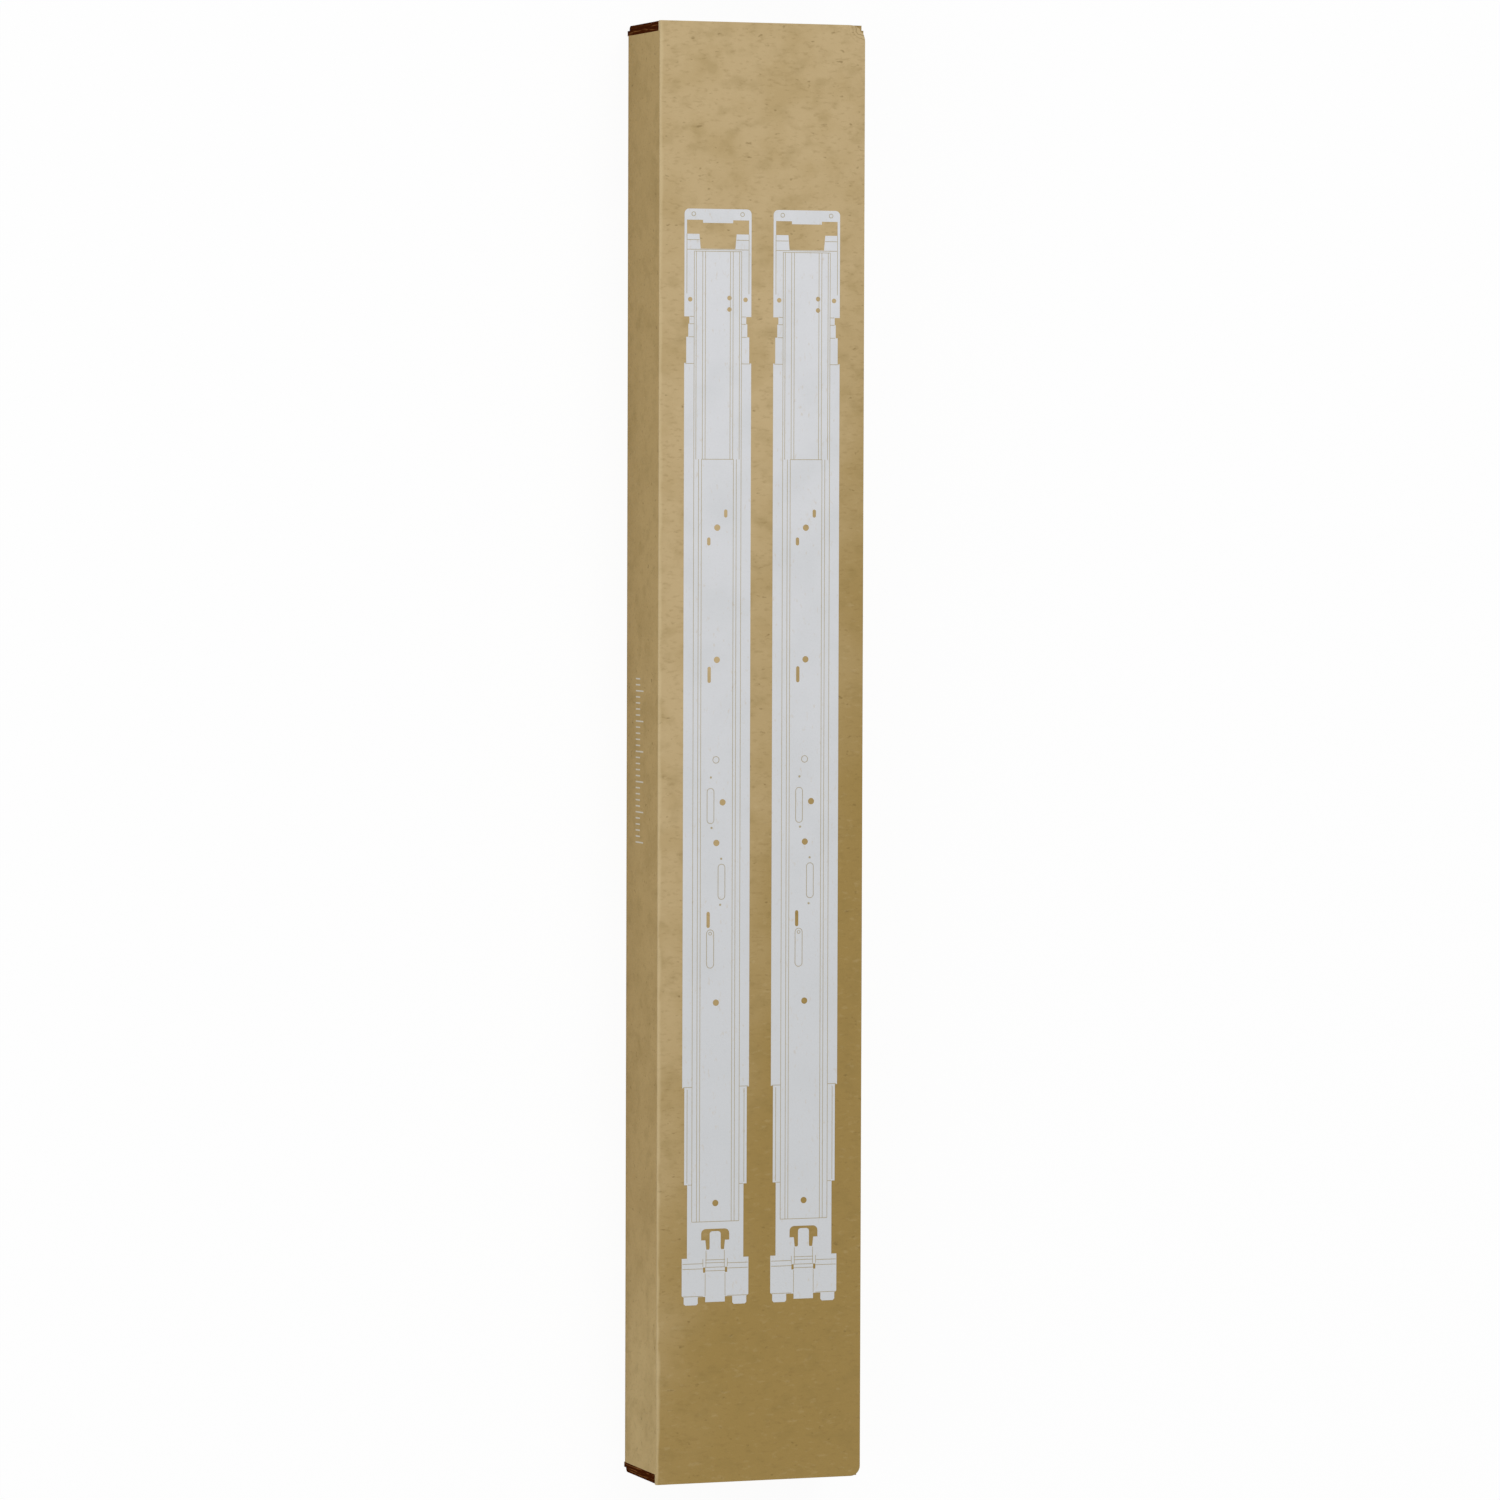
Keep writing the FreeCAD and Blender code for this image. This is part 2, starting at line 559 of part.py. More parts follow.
def latch_blocks():
    """Two cheek blocks under the end of the front plate, one on each side of the lever."""
    top = MIDDLE_BACK - LATCH_TOP_GAP
    rear = FRONT_PLATE_FRONT
    cheek = box(LEVER_SLOT_HALF, HALF_RAIL, LATCH_FRONT, rear, -BACK_DEPTH, top)
    ledge = box(CUT_HALF + FIT_GAP, HALF_RAIL - STEEL, rear, rear + LEDGE_LENGTH, -BACK_DEPTH,
                -FRONT_PLATE_THICKNESS)
    block = join([cheek, ledge])
    block = round_edges(block, BLOCK_CORNER, lambda e: at_corner(e, HALF_RAIL, LATCH_FRONT))
    return both_sides(cut(block, [latch_pin()]))


def latch_pin():
    return rod_x(LATCH_PIN_D / 2, -LATCH_PIN_LENGTH / 2, LATCH_PIN_LENGTH / 2, LATCH_PIN_V, LATCH_PIN_W)


def latch_lever():
    """Rocking lever: press its tail and the hook at its front lets go of the rack post."""
    low = LATCH_PIN_W - LEVER_THICKNESS / 2
    high = LATCH_PIN_W + LEVER_THICKNESS / 2
    pad = sym_box(LEVER_HALF, LEVER_FRONT, LATCH_PIN_V + BOSS_R, low, high)
    boss = rod_x(BOSS_R, -LEVER_HALF, LEVER_HALF, LATCH_PIN_V, LATCH_PIN_W)
    tail = sym_box(LEVER_TAIL_HALF, LATCH_PIN_V, LEVER_TAIL_REAR, low + LEVER_TAIL_STEP, high)
    tail = round_edges(tail, LEVER_TAIL_CORNER, lambda e: upright(e) and e.BoundBox.YMin > LEVER_TAIL_REAR - 0.01)
    hook = sym_box(LEVER_HALF, LEVER_FRONT, LEVER_FRONT + LEVER_HOOK, low - LEVER_HOOK, high)
    bore = rod_x(LATCH_PIN_D / 2 + LATCH_PIN_GAP, -LEVER_HALF - 1, LEVER_HALF + 1, LATCH_PIN_V, LATCH_PIN_W)
    room = rod_x(SPRING_R + SPRING_WIRE_D, -SPRING_LENGTH / 2, SPRING_LENGTH / 2, LATCH_PIN_V, LATCH_PIN_W)
    return cut(join([pad, boss, tail, hook]), [bore, room])


def latch_spring():
    """Closed coils of the torsion spring on the latch pin."""
    coils = []
    pitch = SPRING_WIRE_D + COIL_GAP
    count = int((SPRING_LENGTH - SPRING_WIRE_D - 2 * COIL_GAP) / pitch) + 1
    first = -(count - 1) * pitch / 2
    for index in range(count):
        centre = V(first + index * pitch, LATCH_PIN_V, LATCH_PIN_W)
        coils.append(Part.makeTorus(SPRING_R, SPRING_WIRE_D / 2, centre, V(1, 0, 0)))
    return coils


def peg(u):
    """Round peg for a square rack hole, with a chamfered nose."""
    tip = -HALF_LENGTH
    body = rod_y(PEG_D / 2, tip, LATCH_FRONT, u, PEG_W)
    nose = [e for e in body.Edges if e.BoundBox.YMax < tip + 0.01]
    return body.makeChamfer(PEG_NOSE, nose)


def front_pegs():
    return [peg(side * EIA_PITCH / 2) for side in (-1, 1)]


def rear_bracket():
    """Sliding rear bracket: a strip behind the outer member, a stepped neck, arms and an end bar."""
    top = -SLIDE_GAP
    strip_half = HALF_RAIL - REAR_SLIDE_SETBACK
    strip = sym_box(strip_half, REAR_STRIP_FRONT, REAR_HEAD, REAR_LOW, top)
    step_one = sym_box(HALF_RAIL - REAR_STEP_ONE_SETBACK, REAR_STEP_ONE, REAR_STEP_TWO, REAR_LOW, top)
    step_two = sym_box(HALF_RAIL - REAR_STEP_TWO_SETBACK, REAR_STEP_TWO, REAR_NECK, REAR_LOW, top)
    head = sym_box(HALF_RAIL, REAR_HEAD, REAR_HEAD + REAR_HEAD_LENGTH, REAR_LOW, top)
    arm = box(HALF_RAIL - REAR_ARM_WIDTH, HALF_RAIL, REAR_HEAD, HALF_LENGTH, REAR_LOW, REAR_TOP_W)
    bar = sym_box(HALF_RAIL, HALF_LENGTH - REAR_BAR_DEPTH, HALF_LENGTH, REAR_LOW, REAR_TOP_W)
    body = join([strip, step_one, step_two, head, bar] + both_sides(arm))
    body = round_edges(body, REAR_CORNER, lambda e: at_side(e, HALF_RAIL) and e.BoundBox.YMin > HALF_LENGTH - 0.1)
    slot_middle = (REAR_SLOT_FRONT + REAR_SLOT_REAR) / 2
    slot_length = REAR_SLOT_REAR - REAR_SLOT_FRONT
    low = REAR_LOW - 1
    cutters = [slot_z(STUD_NECK_D + 2 * STUD_GAP, slot_length, low, top + 1, 0, slot_middle)]
    cutters += [rod_z(REAR_HOLE_D / 2, low, top + 1, u, REAR_HEAD + inset) for u, inset in REAR_HOLES]
    bar_front = HALF_LENGTH - REAR_BAR_DEPTH - 1
    cutters += [rod_y(SCREW_CLEAR_D / 2, bar_front, HALF_LENGTH + 1, side * EIA_PITCH / 2, REAR_SCREW_W)
                for side in (-1, 1)]
    return cut(body, cutters)


def rear_hooks():
    """Two hooks that grip the rear rack post, bent up from behind the end of the rail."""
    outer = HALF_RAIL - REAR_ARM_WIDTH - FIT_GAP
    inner = outer - HOOK_WIDTH
    foot = box(inner, outer, HOOK_FRONT, HOOK_REAR, REAR_LOW - STEEL, REAR_LOW)
    tongue = box(inner, outer, HOOK_REAR - STEEL, HOOK_REAR, REAR_LOW - STEEL, REAR_TOP_W - 1)
    return both_sides(join([foot, tongue]))


def guide_stud():
    """Headed stud on the outer member's back that guides and holds the rear bracket."""
    shoulder = REAR_LOW - 2 * STUD_GAP
    neck = rod_z(STUD_NECK_D / 2, shoulder, 0, 0, STUD_V)
    head = rod_z(STUD_HEAD_D / 2, shoulder - STUD_HEAD, shoulder, 0, STUD_V)
    return join([neck, head])


def release_lever():
    """Small lever on the inner member's face that lets it leave the rail."""
    low = INNER_FACE + RELEASE_GAP
    high = low + RELEASE_SHEET
    middle = RELEASE_V - (RELEASE_LENGTH - RELEASE_WIDTH) / 2
    arm = slot_z(RELEASE_WIDTH, RELEASE_LENGTH, low, high, RELEASE_U, middle)
    return cut(arm, [rod_z(RELEASE_PIN_D / 2 + LATCH_PIN_GAP, low - 1, high + 1, RELEASE_U, RELEASE_V)])


def release_rivet():
    low = INNER_FACE - STEEL
    shank = rod_z(RELEASE_PIN_D / 2, low, INNER_FACE + 2 * RELEASE_GAP + RELEASE_SHEET, RELEASE_U, RELEASE_V)
    top = INNER_FACE + 2 * RELEASE_GAP + RELEASE_SHEET
    head = rod_z(RELEASE_PIN_D / 2 + 1, top, top + 0.3, RELEASE_U, RELEASE_V)
    return join([shank, head])


def write_rail(side, x):
    """All the pieces of one rail, moved to its place in the carton."""
    pieces = {
        "outer_member": [outer_member()],
        "intermediate_member": [intermediate_member()],
        "inner_member": [inner_member()],
        "outer_ball_cage": [outer_ball_cage()],
        "outer_balls": outer_balls(),
        "inner_ball_cage": [inner_ball_cage()],
        "inner_balls": inner_balls(),
        "front_bracket": [front_bracket()],
        "bracket_rivets": rivets(),
        "latch_blocks": latch_blocks(),
        "latch_pin": [latch_pin()],
        "latch_lever": [latch_lever()],
        "latch_spring": latch_spring(),
        "front_pegs": front_pegs(),
        "rear_bracket": [rear_bracket()],
        "rear_hooks": rear_hooks(),
        "guide_stud": [guide_stud()],
        "release_lever": [release_lever()],
        "release_rivet": [release_rivet()],
    }
    for name, shapes in pieces.items():
        placed = []
        for shape in shapes:
            moved = shape.copy()
            moved.translate(V(x, 0, RAIL_BACK_Z))
            placed.append(moved)
        write(side + "_" + name, placed)


write("carton_floor", [carton_floor()])
write("carton_left_wall", [carton_side(-1)])
write("carton_right_wall", [carton_side(1)])
for end_name, end_sign in (("front", -1), ("rear", 1)):
    write("carton_" + end_name + "_wall", [end_ply(end_sign, 1)])
    write("carton_" + end_name + "_rolled_ply", [end_ply(end_sign, 0)])
write("carton_lid", [carton_lid()])
write("tuck_flap", [tuck_flap()])
packing()
write("accessory_tray", [accessory_tray()])
write("tray_screws", tray_screws())
write_rail("left", -RAIL_SPACING / 2)
write_rail("right", RAIL_SPACING / 2)
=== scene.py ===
# %% [markdown]
# # A pair of server rails in their mailer carton
# Two ball-bearing rails lie side by side in a long flat carton of brown kraft board. The solids
# are already right in size and place, so this lesson dresses them: board, foam, plated steel, and
# the pale ink drawing on the lid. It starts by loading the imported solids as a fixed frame, in
# metres.

# %% Load the frame
import math

import bmesh
import bpy
from mathutils import Euler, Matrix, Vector


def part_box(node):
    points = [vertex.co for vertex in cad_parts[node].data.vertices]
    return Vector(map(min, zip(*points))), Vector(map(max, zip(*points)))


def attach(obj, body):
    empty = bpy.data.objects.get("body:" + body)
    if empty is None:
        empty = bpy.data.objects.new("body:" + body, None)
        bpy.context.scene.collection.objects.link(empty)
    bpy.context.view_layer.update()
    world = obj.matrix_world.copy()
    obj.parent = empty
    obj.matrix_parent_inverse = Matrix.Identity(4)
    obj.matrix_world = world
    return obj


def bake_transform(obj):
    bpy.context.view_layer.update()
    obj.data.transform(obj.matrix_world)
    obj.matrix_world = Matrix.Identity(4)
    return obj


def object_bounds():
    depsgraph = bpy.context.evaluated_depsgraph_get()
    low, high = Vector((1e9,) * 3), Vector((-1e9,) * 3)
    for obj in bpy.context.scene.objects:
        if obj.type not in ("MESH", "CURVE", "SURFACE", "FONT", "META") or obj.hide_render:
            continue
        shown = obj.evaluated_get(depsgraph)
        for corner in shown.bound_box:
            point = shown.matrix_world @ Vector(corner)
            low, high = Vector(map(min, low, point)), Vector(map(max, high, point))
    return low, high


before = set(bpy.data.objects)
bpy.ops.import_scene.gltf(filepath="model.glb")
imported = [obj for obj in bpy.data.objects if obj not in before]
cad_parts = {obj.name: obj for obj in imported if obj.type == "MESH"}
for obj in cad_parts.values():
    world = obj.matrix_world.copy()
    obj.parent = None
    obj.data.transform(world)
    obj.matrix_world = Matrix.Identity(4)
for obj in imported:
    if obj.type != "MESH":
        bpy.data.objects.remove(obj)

MM = 0.001
CAD_LOW, CAD_HIGH = [tuple(corner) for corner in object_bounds()]
print("box in mm:", [round((b - a) / MM, 1) for a, b in zip(CAD_LOW, CAD_HIGH)])

# %% [markdown]
# ## The camera
# The carton is seen almost straight down on its lid, turned so that its left wall shows as a
# narrow strip. A long lens from three and a half metres keeps its long edges nearly parallel. The
# eye is a little nearer to the rear end, so the two ends taper slightly differently.

# %% Camera
EYE_MM = (-1162.7, 136.2, 3300.8)
TURN = (-0.0399, -0.3418, 0.0033)
SENSOR_MM = 36.0
LENS_MM = 168.0

camera_data = bpy.data.cameras.new("camera")
camera_data.sensor_width = SENSOR_MM
camera_data.lens = LENS_MM
camera_data.clip_start = 0.1
camera_data.clip_end = 50.0
camera = bpy.data.objects.new("camera", camera_data)
bpy.context.collection.objects.link(camera)
camera.location = Vector(EYE_MM) * MM
camera.rotation_euler = Euler(TURN, "XYZ")
bpy.context.scene.camera = camera
print("distance in m:", round(camera.location.length, 2))

# %% [markdown]
# ## Colour and node helpers
# Colours are picked as sRGB hex, as in any paint program, and one function turns them into the
# linear numbers that shaders want. A second one adds a shader node of any kind and fills its
# inputs, with plain values or with the output of another node, so that each material reads as a
# short list.


# %% Helpers for materials
def colour(code):
    """Linear RGBA from an sRGB hex code."""
    parts = [int(code[i:i + 2], 16) / 255 for i in (1, 3, 5)]
    linear = [c / 12.92 if c <= 0.04045 else ((c + 0.055) / 1.055) ** 2.4 for c in parts]
    return (*linear, 1.0)


def wire(tree, node, inputs):
    """Set or link inputs of a node, by name or by number."""
    for name, value in inputs.items():
        if isinstance(name, int):
            socket = node.inputs[name]
        else:
            socket = next(s for s in node.inputs if s.name == name and s.enabled)
        if isinstance(value, bpy.types.Node):
            value = next(s for s in value.outputs if s.enabled)
        if isinstance(value, bpy.types.NodeSocket):
            tree.links.new(value, socket)
        else:
            socket.default_value = value


def add(tree, kind, inputs=None, **settings):
    """Add a shader node with its settings, and wire its inputs."""
    node = tree.nodes.new("ShaderNode" + kind)
    for name, value in settings.items():
        setattr(node, name, value)
    wire(tree, node, inputs or {})
    return node


def new_material(name):
    """A material with its tree, its shader and its position on the piece in metres."""
    material = bpy.data.materials.new(name)
    material.use_nodes = True
    tree = material.node_tree
    return material, tree, tree.nodes["Principled BSDF"], add(tree, "TexCoord").outputs["Object"]


print("kraft brown in linear light:", [round(c, 3) for c in colour("#B8A07A")[:3]])

# %% [markdown]
# ### Patterns at real size
# Most patterns here are patches of noise of a known size in millimetres. Fibres are patches that
# are stretched along one axis. The patch function limits the noise between two levels, so that
# the rest of the surface stays clean, and returns a mask from 0 to a given strength. A second
# pattern draws stripes of a known pitch.


# %% Pattern helpers
def patches(tree, place, size_mm, low, high, strength=1.0, stretch=(1, 1, 1), detail=3.0):
    """Mask of noise patches of one size, stretched along the axes."""
    spread = add(tree, "Mapping", {"Vector": place, "Scale": [1 / s for s in stretch]})
    clouds = add(tree, "TexNoise", {"Vector": spread, "Scale": 1 / (size_mm * MM),
                                    "Detail": detail})
    return add(tree, "MapRange", {"Value": clouds.outputs["Fac"], "From Min": low, "From Max": high,
                                  "To Max": strength}, interpolation_type="SMOOTHSTEP")


def stripes(tree, distance, pitch_mm):
    """Sine wave from -1 to 1 along a distance in metres."""
    phase = add(tree, "Math", {0: distance, 1: 2 * math.pi / (pitch_mm * MM)}, operation="MULTIPLY")
    return add(tree, "Math", {0: phase}, operation="SINE")


def local_normal(tree):
    """Direction of the surface on the piece itself, split into axes."""
    world = add(tree, "NewGeometry").outputs["Normal"]
    turned = add(tree, "VectorTransform", {"Vector": world}, vector_type="NORMAL",
                 convert_from="WORLD", convert_to="OBJECT")
    return add(tree, "SeparateXYZ", {"Vector": turned})


# %% [markdown]
# ## Kraft board
# Corrugated kraft board has a brown liner of unbleached pulp, pressed smooth and uncoated: dull,
# with fine fibres along the mill direction and olive flecks about a millimetre long. The flecks
# here are drawn a little coarser than real ones, which would be too fine to see. Where board is
# cut, the wave of its middle paper shows between two thin liners. The lid is painted paler at the
# rear and deeper brown at the front and along the right: painted shade.

# %% Kraft liner
FLUTE_PITCH_MM = 6.6
BOARD_MM = 2.5
LINER_RELIEF_MM = 0.2
KRAFT_PALE = colour("#BDA67C")
KRAFT_DEEP = colour("#9A8049")
KRAFT_FIBRE = colour("#80683A")
KRAFT_OLIVE = colour("#86713F")
KRAFT_FLECK = colour("#6F5A2F")
KRAFT_RUBBED_AND_HIGHLIGHT = colour("#CDB98F")
PAPER_ROUGHNESS = 0.86
PAPER_SPECULAR = 0.2


def kraft_liner(tree, place, base, dark):
    """Liner colour: soft mottle, fibres and flecks over a base colour."""
    mottle = patches(tree, place, 26, 0.40, 0.70, 0.26)
    base = add(tree, "Mix", {"Factor": mottle, "A": base, "B": dark}, data_type="RGBA")
    cloud = patches(tree, place, 8, 0.48, 0.74, 0.24, (1.3, 1.0, 1.0))
    base = add(tree, "Mix", {"Factor": cloud, "A": base, "B": KRAFT_OLIVE}, data_type="RGBA")
    fibre = patches(tree, place, 1.5, 0.52, 0.76, 0.26, (2.4, 1.0, 1.0))
    base = add(tree, "Mix", {"Factor": fibre, "A": base, "B": KRAFT_FIBRE}, data_type="RGBA")
    pale = patches(tree, place, 2.2, 0.55, 0.80, 0.14, (2.0, 1.0, 1.0))
    base = add(tree, "Mix", {"Factor": pale, "A": base, "B": KRAFT_RUBBED_AND_HIGHLIGHT}, data_type="RGBA")
    fleck = patches(tree, place, 2.4, 0.66, 0.78, 0.5, (1.8, 1.0, 1.0), 2.0)
    return add(tree, "Mix", {"Factor": fleck, "A": base, "B": KRAFT_FLECK}, data_type="RGBA")


print("board:", BOARD_MM, "mm thick, a wave every", FLUTE_PITCH_MM, "mm")

# %% [markdown]
# ### Cut edges
# Only the ends of a panel are cut, since its long sides are folds. So the raw edge is wanted on
# faces that look along one axis. There the shader draws the wave: a sine across the panel, thin
# paper along it, and the two liners at the faces.

# %% Raw edge colour
RAW_SHADOW = colour("#3A2010")
RAW_PAPER = colour("#9A7A4C")
WAVE_REACH = 0.3          # share of the board's thickness, each side of its middle
BOARDS_BELOW = 20.0       # whole boards added, so that the fraction is of a positive number


def raw_edge(tree, place, thin, run):
    """Colour of a cut edge for board that is thin along one axis and cut across another."""
    axes = add(tree, "SeparateXYZ", {"Vector": place})
    wave = stripes(tree, axes.outputs[run], FLUTE_PITCH_MM)
    layers = add(tree, "Math", {0: axes.outputs[thin], 1: 1 / (BOARD_MM * MM), 2: BOARDS_BELOW},
                 operation="MULTIPLY_ADD")
    level = add(tree, "Math", {0: layers}, operation="FRACT")
    middle = add(tree, "Math", {0: wave, 1: WAVE_REACH, 2: 0.5}, operation="MULTIPLY_ADD")
    from_wave = add(tree, "Math", {0: level, 1: middle}, operation="SUBTRACT")
    from_wave = add(tree, "Math", {0: from_wave}, operation="ABSOLUTE")
    wave_paper = add(tree, "MapRange", {"Value": from_wave, "From Min": 0.07, "From Max": 0.15,
                                        "To Min": 1.0, "To Max": 0.0})
    from_middle = add(tree, "Math", {0: level, 1: 0.5}, operation="SUBTRACT")
    from_middle = add(tree, "Math", {0: from_middle}, operation="ABSOLUTE")
    liners = add(tree, "MapRange", {"Value": from_middle, "From Min": 0.34, "From Max": 0.42})
    paper = add(tree, "Math", {0: wave_paper, 1: liners}, operation="MAXIMUM")
    torn = patches(tree, place, 1.5, 0.2, 0.5)
    paper = add(tree, "Math", {0: paper, 1: torn}, operation="MULTIPLY")
    return add(tree, "Mix", {"Factor": paper, "A": RAW_SHADOW, "B": RAW_PAPER}, data_type="RGBA")


# %% [markdown]
# ### Panels
# One function makes the board of any panel. The lid passes its own base colour, which is graded
# from rear to front as painted shade, and its rubbed fold with a painted highlight and its creased
# corner with painted shade in the creases. The wave inside also prints through the liner as a
# faint washboard across the panel, which the bump shows at a grazing light. The side walls are a
# little paler at the front, where hands have rubbed them.


# %% Panel board
def board(name, thin, cut, run, base, dark):
    """Kraft board panel, and the nodes that later details start from."""
    material, tree, shader, place = new_material(name)
    liner = kraft_liner(tree, place, base(tree, place) if callable(base) else base, dark)
    facing = add(tree, "Math", {0: local_normal(tree).outputs[cut]}, operation="ABSOLUTE")
    end = add(tree, "MapRange", {"Value": facing, "From Min": 0.75, "From Max": 0.9})
    raw = raw_edge(tree, place, thin, run)
    shown = add(tree, "Mix", {"Factor": end, "A": liner, "B": raw}, data_type="RGBA")
    axes = add(tree, "SeparateXYZ", {"Vector": place})
    washboard = stripes(tree, axes.outputs["Y"], FLUTE_PITCH_MM)
    fuzz = patches(tree, place, 0.9, 0.2, 0.8, 0.3, (1.5, 1, 1), 4.0)
    height = add(tree, "Math", {0: washboard, 1: 0.06, 2: fuzz}, operation="MULTIPLY_ADD")
    sag = patches(tree, place, 28, 0.2, 0.8, 1.6)
    height = add(tree, "Math", {0: height, 1: sag}, operation="ADD")
    normal = add(tree, "Bump", {"Height": height, "Distance": LINER_RELIEF_MM * MM})
    wire(tree, shader, {"Base Color": shown, "Roughness": PAPER_ROUGHNESS,
                        "Specular IOR Level": PAPER_SPECULAR, "Normal": normal})
    return material, tree, shader, place, shown, height


SIDE_PALE = colour("#B09664")
SIDE_DEEP = colour("#8F7743")
SIDE_FRONT = colour("#BBA372")
SIDE_FADE_MM = (-330.0, -220.0)


def side_base(tree, place):
    """Side walls: a little paler towards the front end."""
    axes = add(tree, "SeparateXYZ", {"Vector": place})
    rear = add(tree, "MapRange", {"Value": axes.outputs["Y"], "From Min": SIDE_FADE_MM[0] * MM,
                                  "From Max": SIDE_FADE_MM[1] * MM},
               interpolation_type="SMOOTHSTEP")
    return add(tree, "Mix", {"Factor": rear, "A": SIDE_FRONT, "B": SIDE_PALE}, data_type="RGBA")


SIDE_BOARD = board("kraft_side_board", "X", "Y", "Z", side_base, SIDE_DEEP)[0]
FLOOR_BOARD = board("kraft_floor_board", "Z", "Y", "X", SIDE_PALE, SIDE_DEEP)[0]
FLAP_BOARD = board("kraft_flap_board", "X", "Y", "Z", SIDE_PALE, SIDE_DEEP)[0]
print("panel boards:", SIDE_BOARD.name, FLOOR_BOARD.name, FLAP_BOARD.name)

# %% [markdown]
# ### The lid
# The lid is painted deeper brown from rear to front, and sooner along its right side than its left,
# as painted shade.
# The fold on the left is rubbed pale and carries a painted highlight, in a band about two
# millimetres wide with a broken edge. The rear right corner was knocked round: the liner has
# buckled into a few arcs about the corner, and the creases are painted darker as painted shade.

# %% Lid board
SHADE_REAR_MM = -120.0
SHADE_FRONT_MM = 300.0
SHADE_TILT = 3.5
RUB_HIGHLIGHT_FULL_MM = 0.8
RUB_HIGHLIGHT_WIDTH_MM = 2.4
CREASE_PITCH_MM = 1.9
CREASE_NEAR_MM = 3.0
CREASE_FAR_MM = 11.0


def lid_shade_base(tree, place):
    """Painted shade: pale kraft at the rear, deep kraft at the front, with a ragged change between
    them.
    """
    axes = add(tree, "SeparateXYZ", {"Vector": place})
    tilted = add(tree, "Math", {0: axes.outputs["X"], 1: SHADE_TILT}, operation="MULTIPLY")
    along = add(tree, "Math", {0: tilted, 1: axes.outputs["Y"]}, operation="SUBTRACT")
    drift = patches(tree, place, 60, 0.3, 0.7, 0.09)
    along = add(tree, "Math", {0: along, 1: drift}, operation="ADD")
    # Painted shade: the mix runs from pale kraft at the rear to deep kraft at the front.
    front = add(tree, "MapRange", {"Value": along, "From Min": SHADE_REAR_MM * MM,
                                   "From Max": SHADE_FRONT_MM * MM},
                interpolation_type="SMOOTHSTEP")
    return add(tree, "Mix", {"Factor": front, "A": KRAFT_PALE, "B": KRAFT_DEEP}, data_type="RGBA")


def lid_board():
    """Board of the lid: painted highlight on its rubbed fold, painted shade in its creased corner.
    """
    material, tree, shader, place, shown, height = board(
        "kraft_lid_board", "Z", "Y", "X", lid_shade_base, KRAFT_DEEP)
    low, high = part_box("carton_lid")
    axes = add(tree, "SeparateXYZ", {"Vector": place})
    inset = add(tree, "Math", {0: axes.outputs["X"], 1: low[0]}, operation="SUBTRACT")
    ragged = patches(tree, place, 6, 0.3, 0.8, 1.4 * MM, (1, 3, 1))
    inset = add(tree, "Math", {0: inset, 1: ragged}, operation="ADD")
    # Painted highlight along the left fold, over a rubbed pale band.
    rub_and_highlight = add(tree, "MapRange", {"Value": inset, "From Min": RUB_HIGHLIGHT_FULL_MM * MM,
                                 "From Max": RUB_HIGHLIGHT_WIDTH_MM * MM, "To Min": 0.5, "To Max": 0.0},
              interpolation_type="SMOOTHSTEP")
    shown = add(tree, "Mix", {"Factor": rub_and_highlight, "A": shown, "B": KRAFT_RUBBED_AND_HIGHLIGHT}, data_type="RGBA")
    corner = add(tree, "VectorMath", {0: place, 1: tuple(high)}, operation="DISTANCE")
    bent = patches(tree, place, 5, 0.2, 0.8, 1.6 * MM)
    reach = add(tree, "Math", {0: corner.outputs["Value"], 1: bent}, operation="ADD")
    near = add(tree, "MapRange", {"Value": reach, "From Min": CREASE_NEAR_MM * MM,
                                  "From Max": CREASE_FAR_MM * MM, "To Min": 1.0, "To Max": 0.0})
    arcs = stripes(tree, reach, CREASE_PITCH_MM)
    arcs = add(tree, "MapRange", {"Value": arcs, "From Min": 0.45, "From Max": 1.0, "To Max": 0.8})
    # Painted shade in the creases: the arcs are mixed toward dark fibre colour, and they are also
    # dented by the bump.
    crease_shade_and_dent = add(tree, "Math", {0: arcs, 1: near}, operation="MULTIPLY", use_clamp=True)
    shown = add(tree, "Mix", {"Factor": crease_shade_and_dent, "A": shown, "B": KRAFT_FIBRE}, data_type="RGBA")
    dent = add(tree, "Math", {0: crease_shade_and_dent, 1: -1.2, 2: height}, operation="MULTIPLY_ADD")
    normal = add(tree, "Bump", {"Height": dent, "Distance": LINER_RELIEF_MM * MM})
    wire(tree, shader, {"Base Color": shown, "Normal": normal})
    return material


LID_BOARD = lid_board()
print("lid board:", LID_BOARD.name)

# %% [markdown]
# ### Rolled end walls
# Each end wall is rolled over double, and its folded side edges are painted almost black-brown:
# painted shadow for the deep shade in the wave, with a few paler threads of liner along it.
# The painted shadow is only on the faces that look sideways.


# %% Rolled board
ROLL_PAINTED_SHADOW = colour("#401B08")
ROLL_THREAD = colour("#8A5A30")
ROLL_RELIEF_MM = 0.25


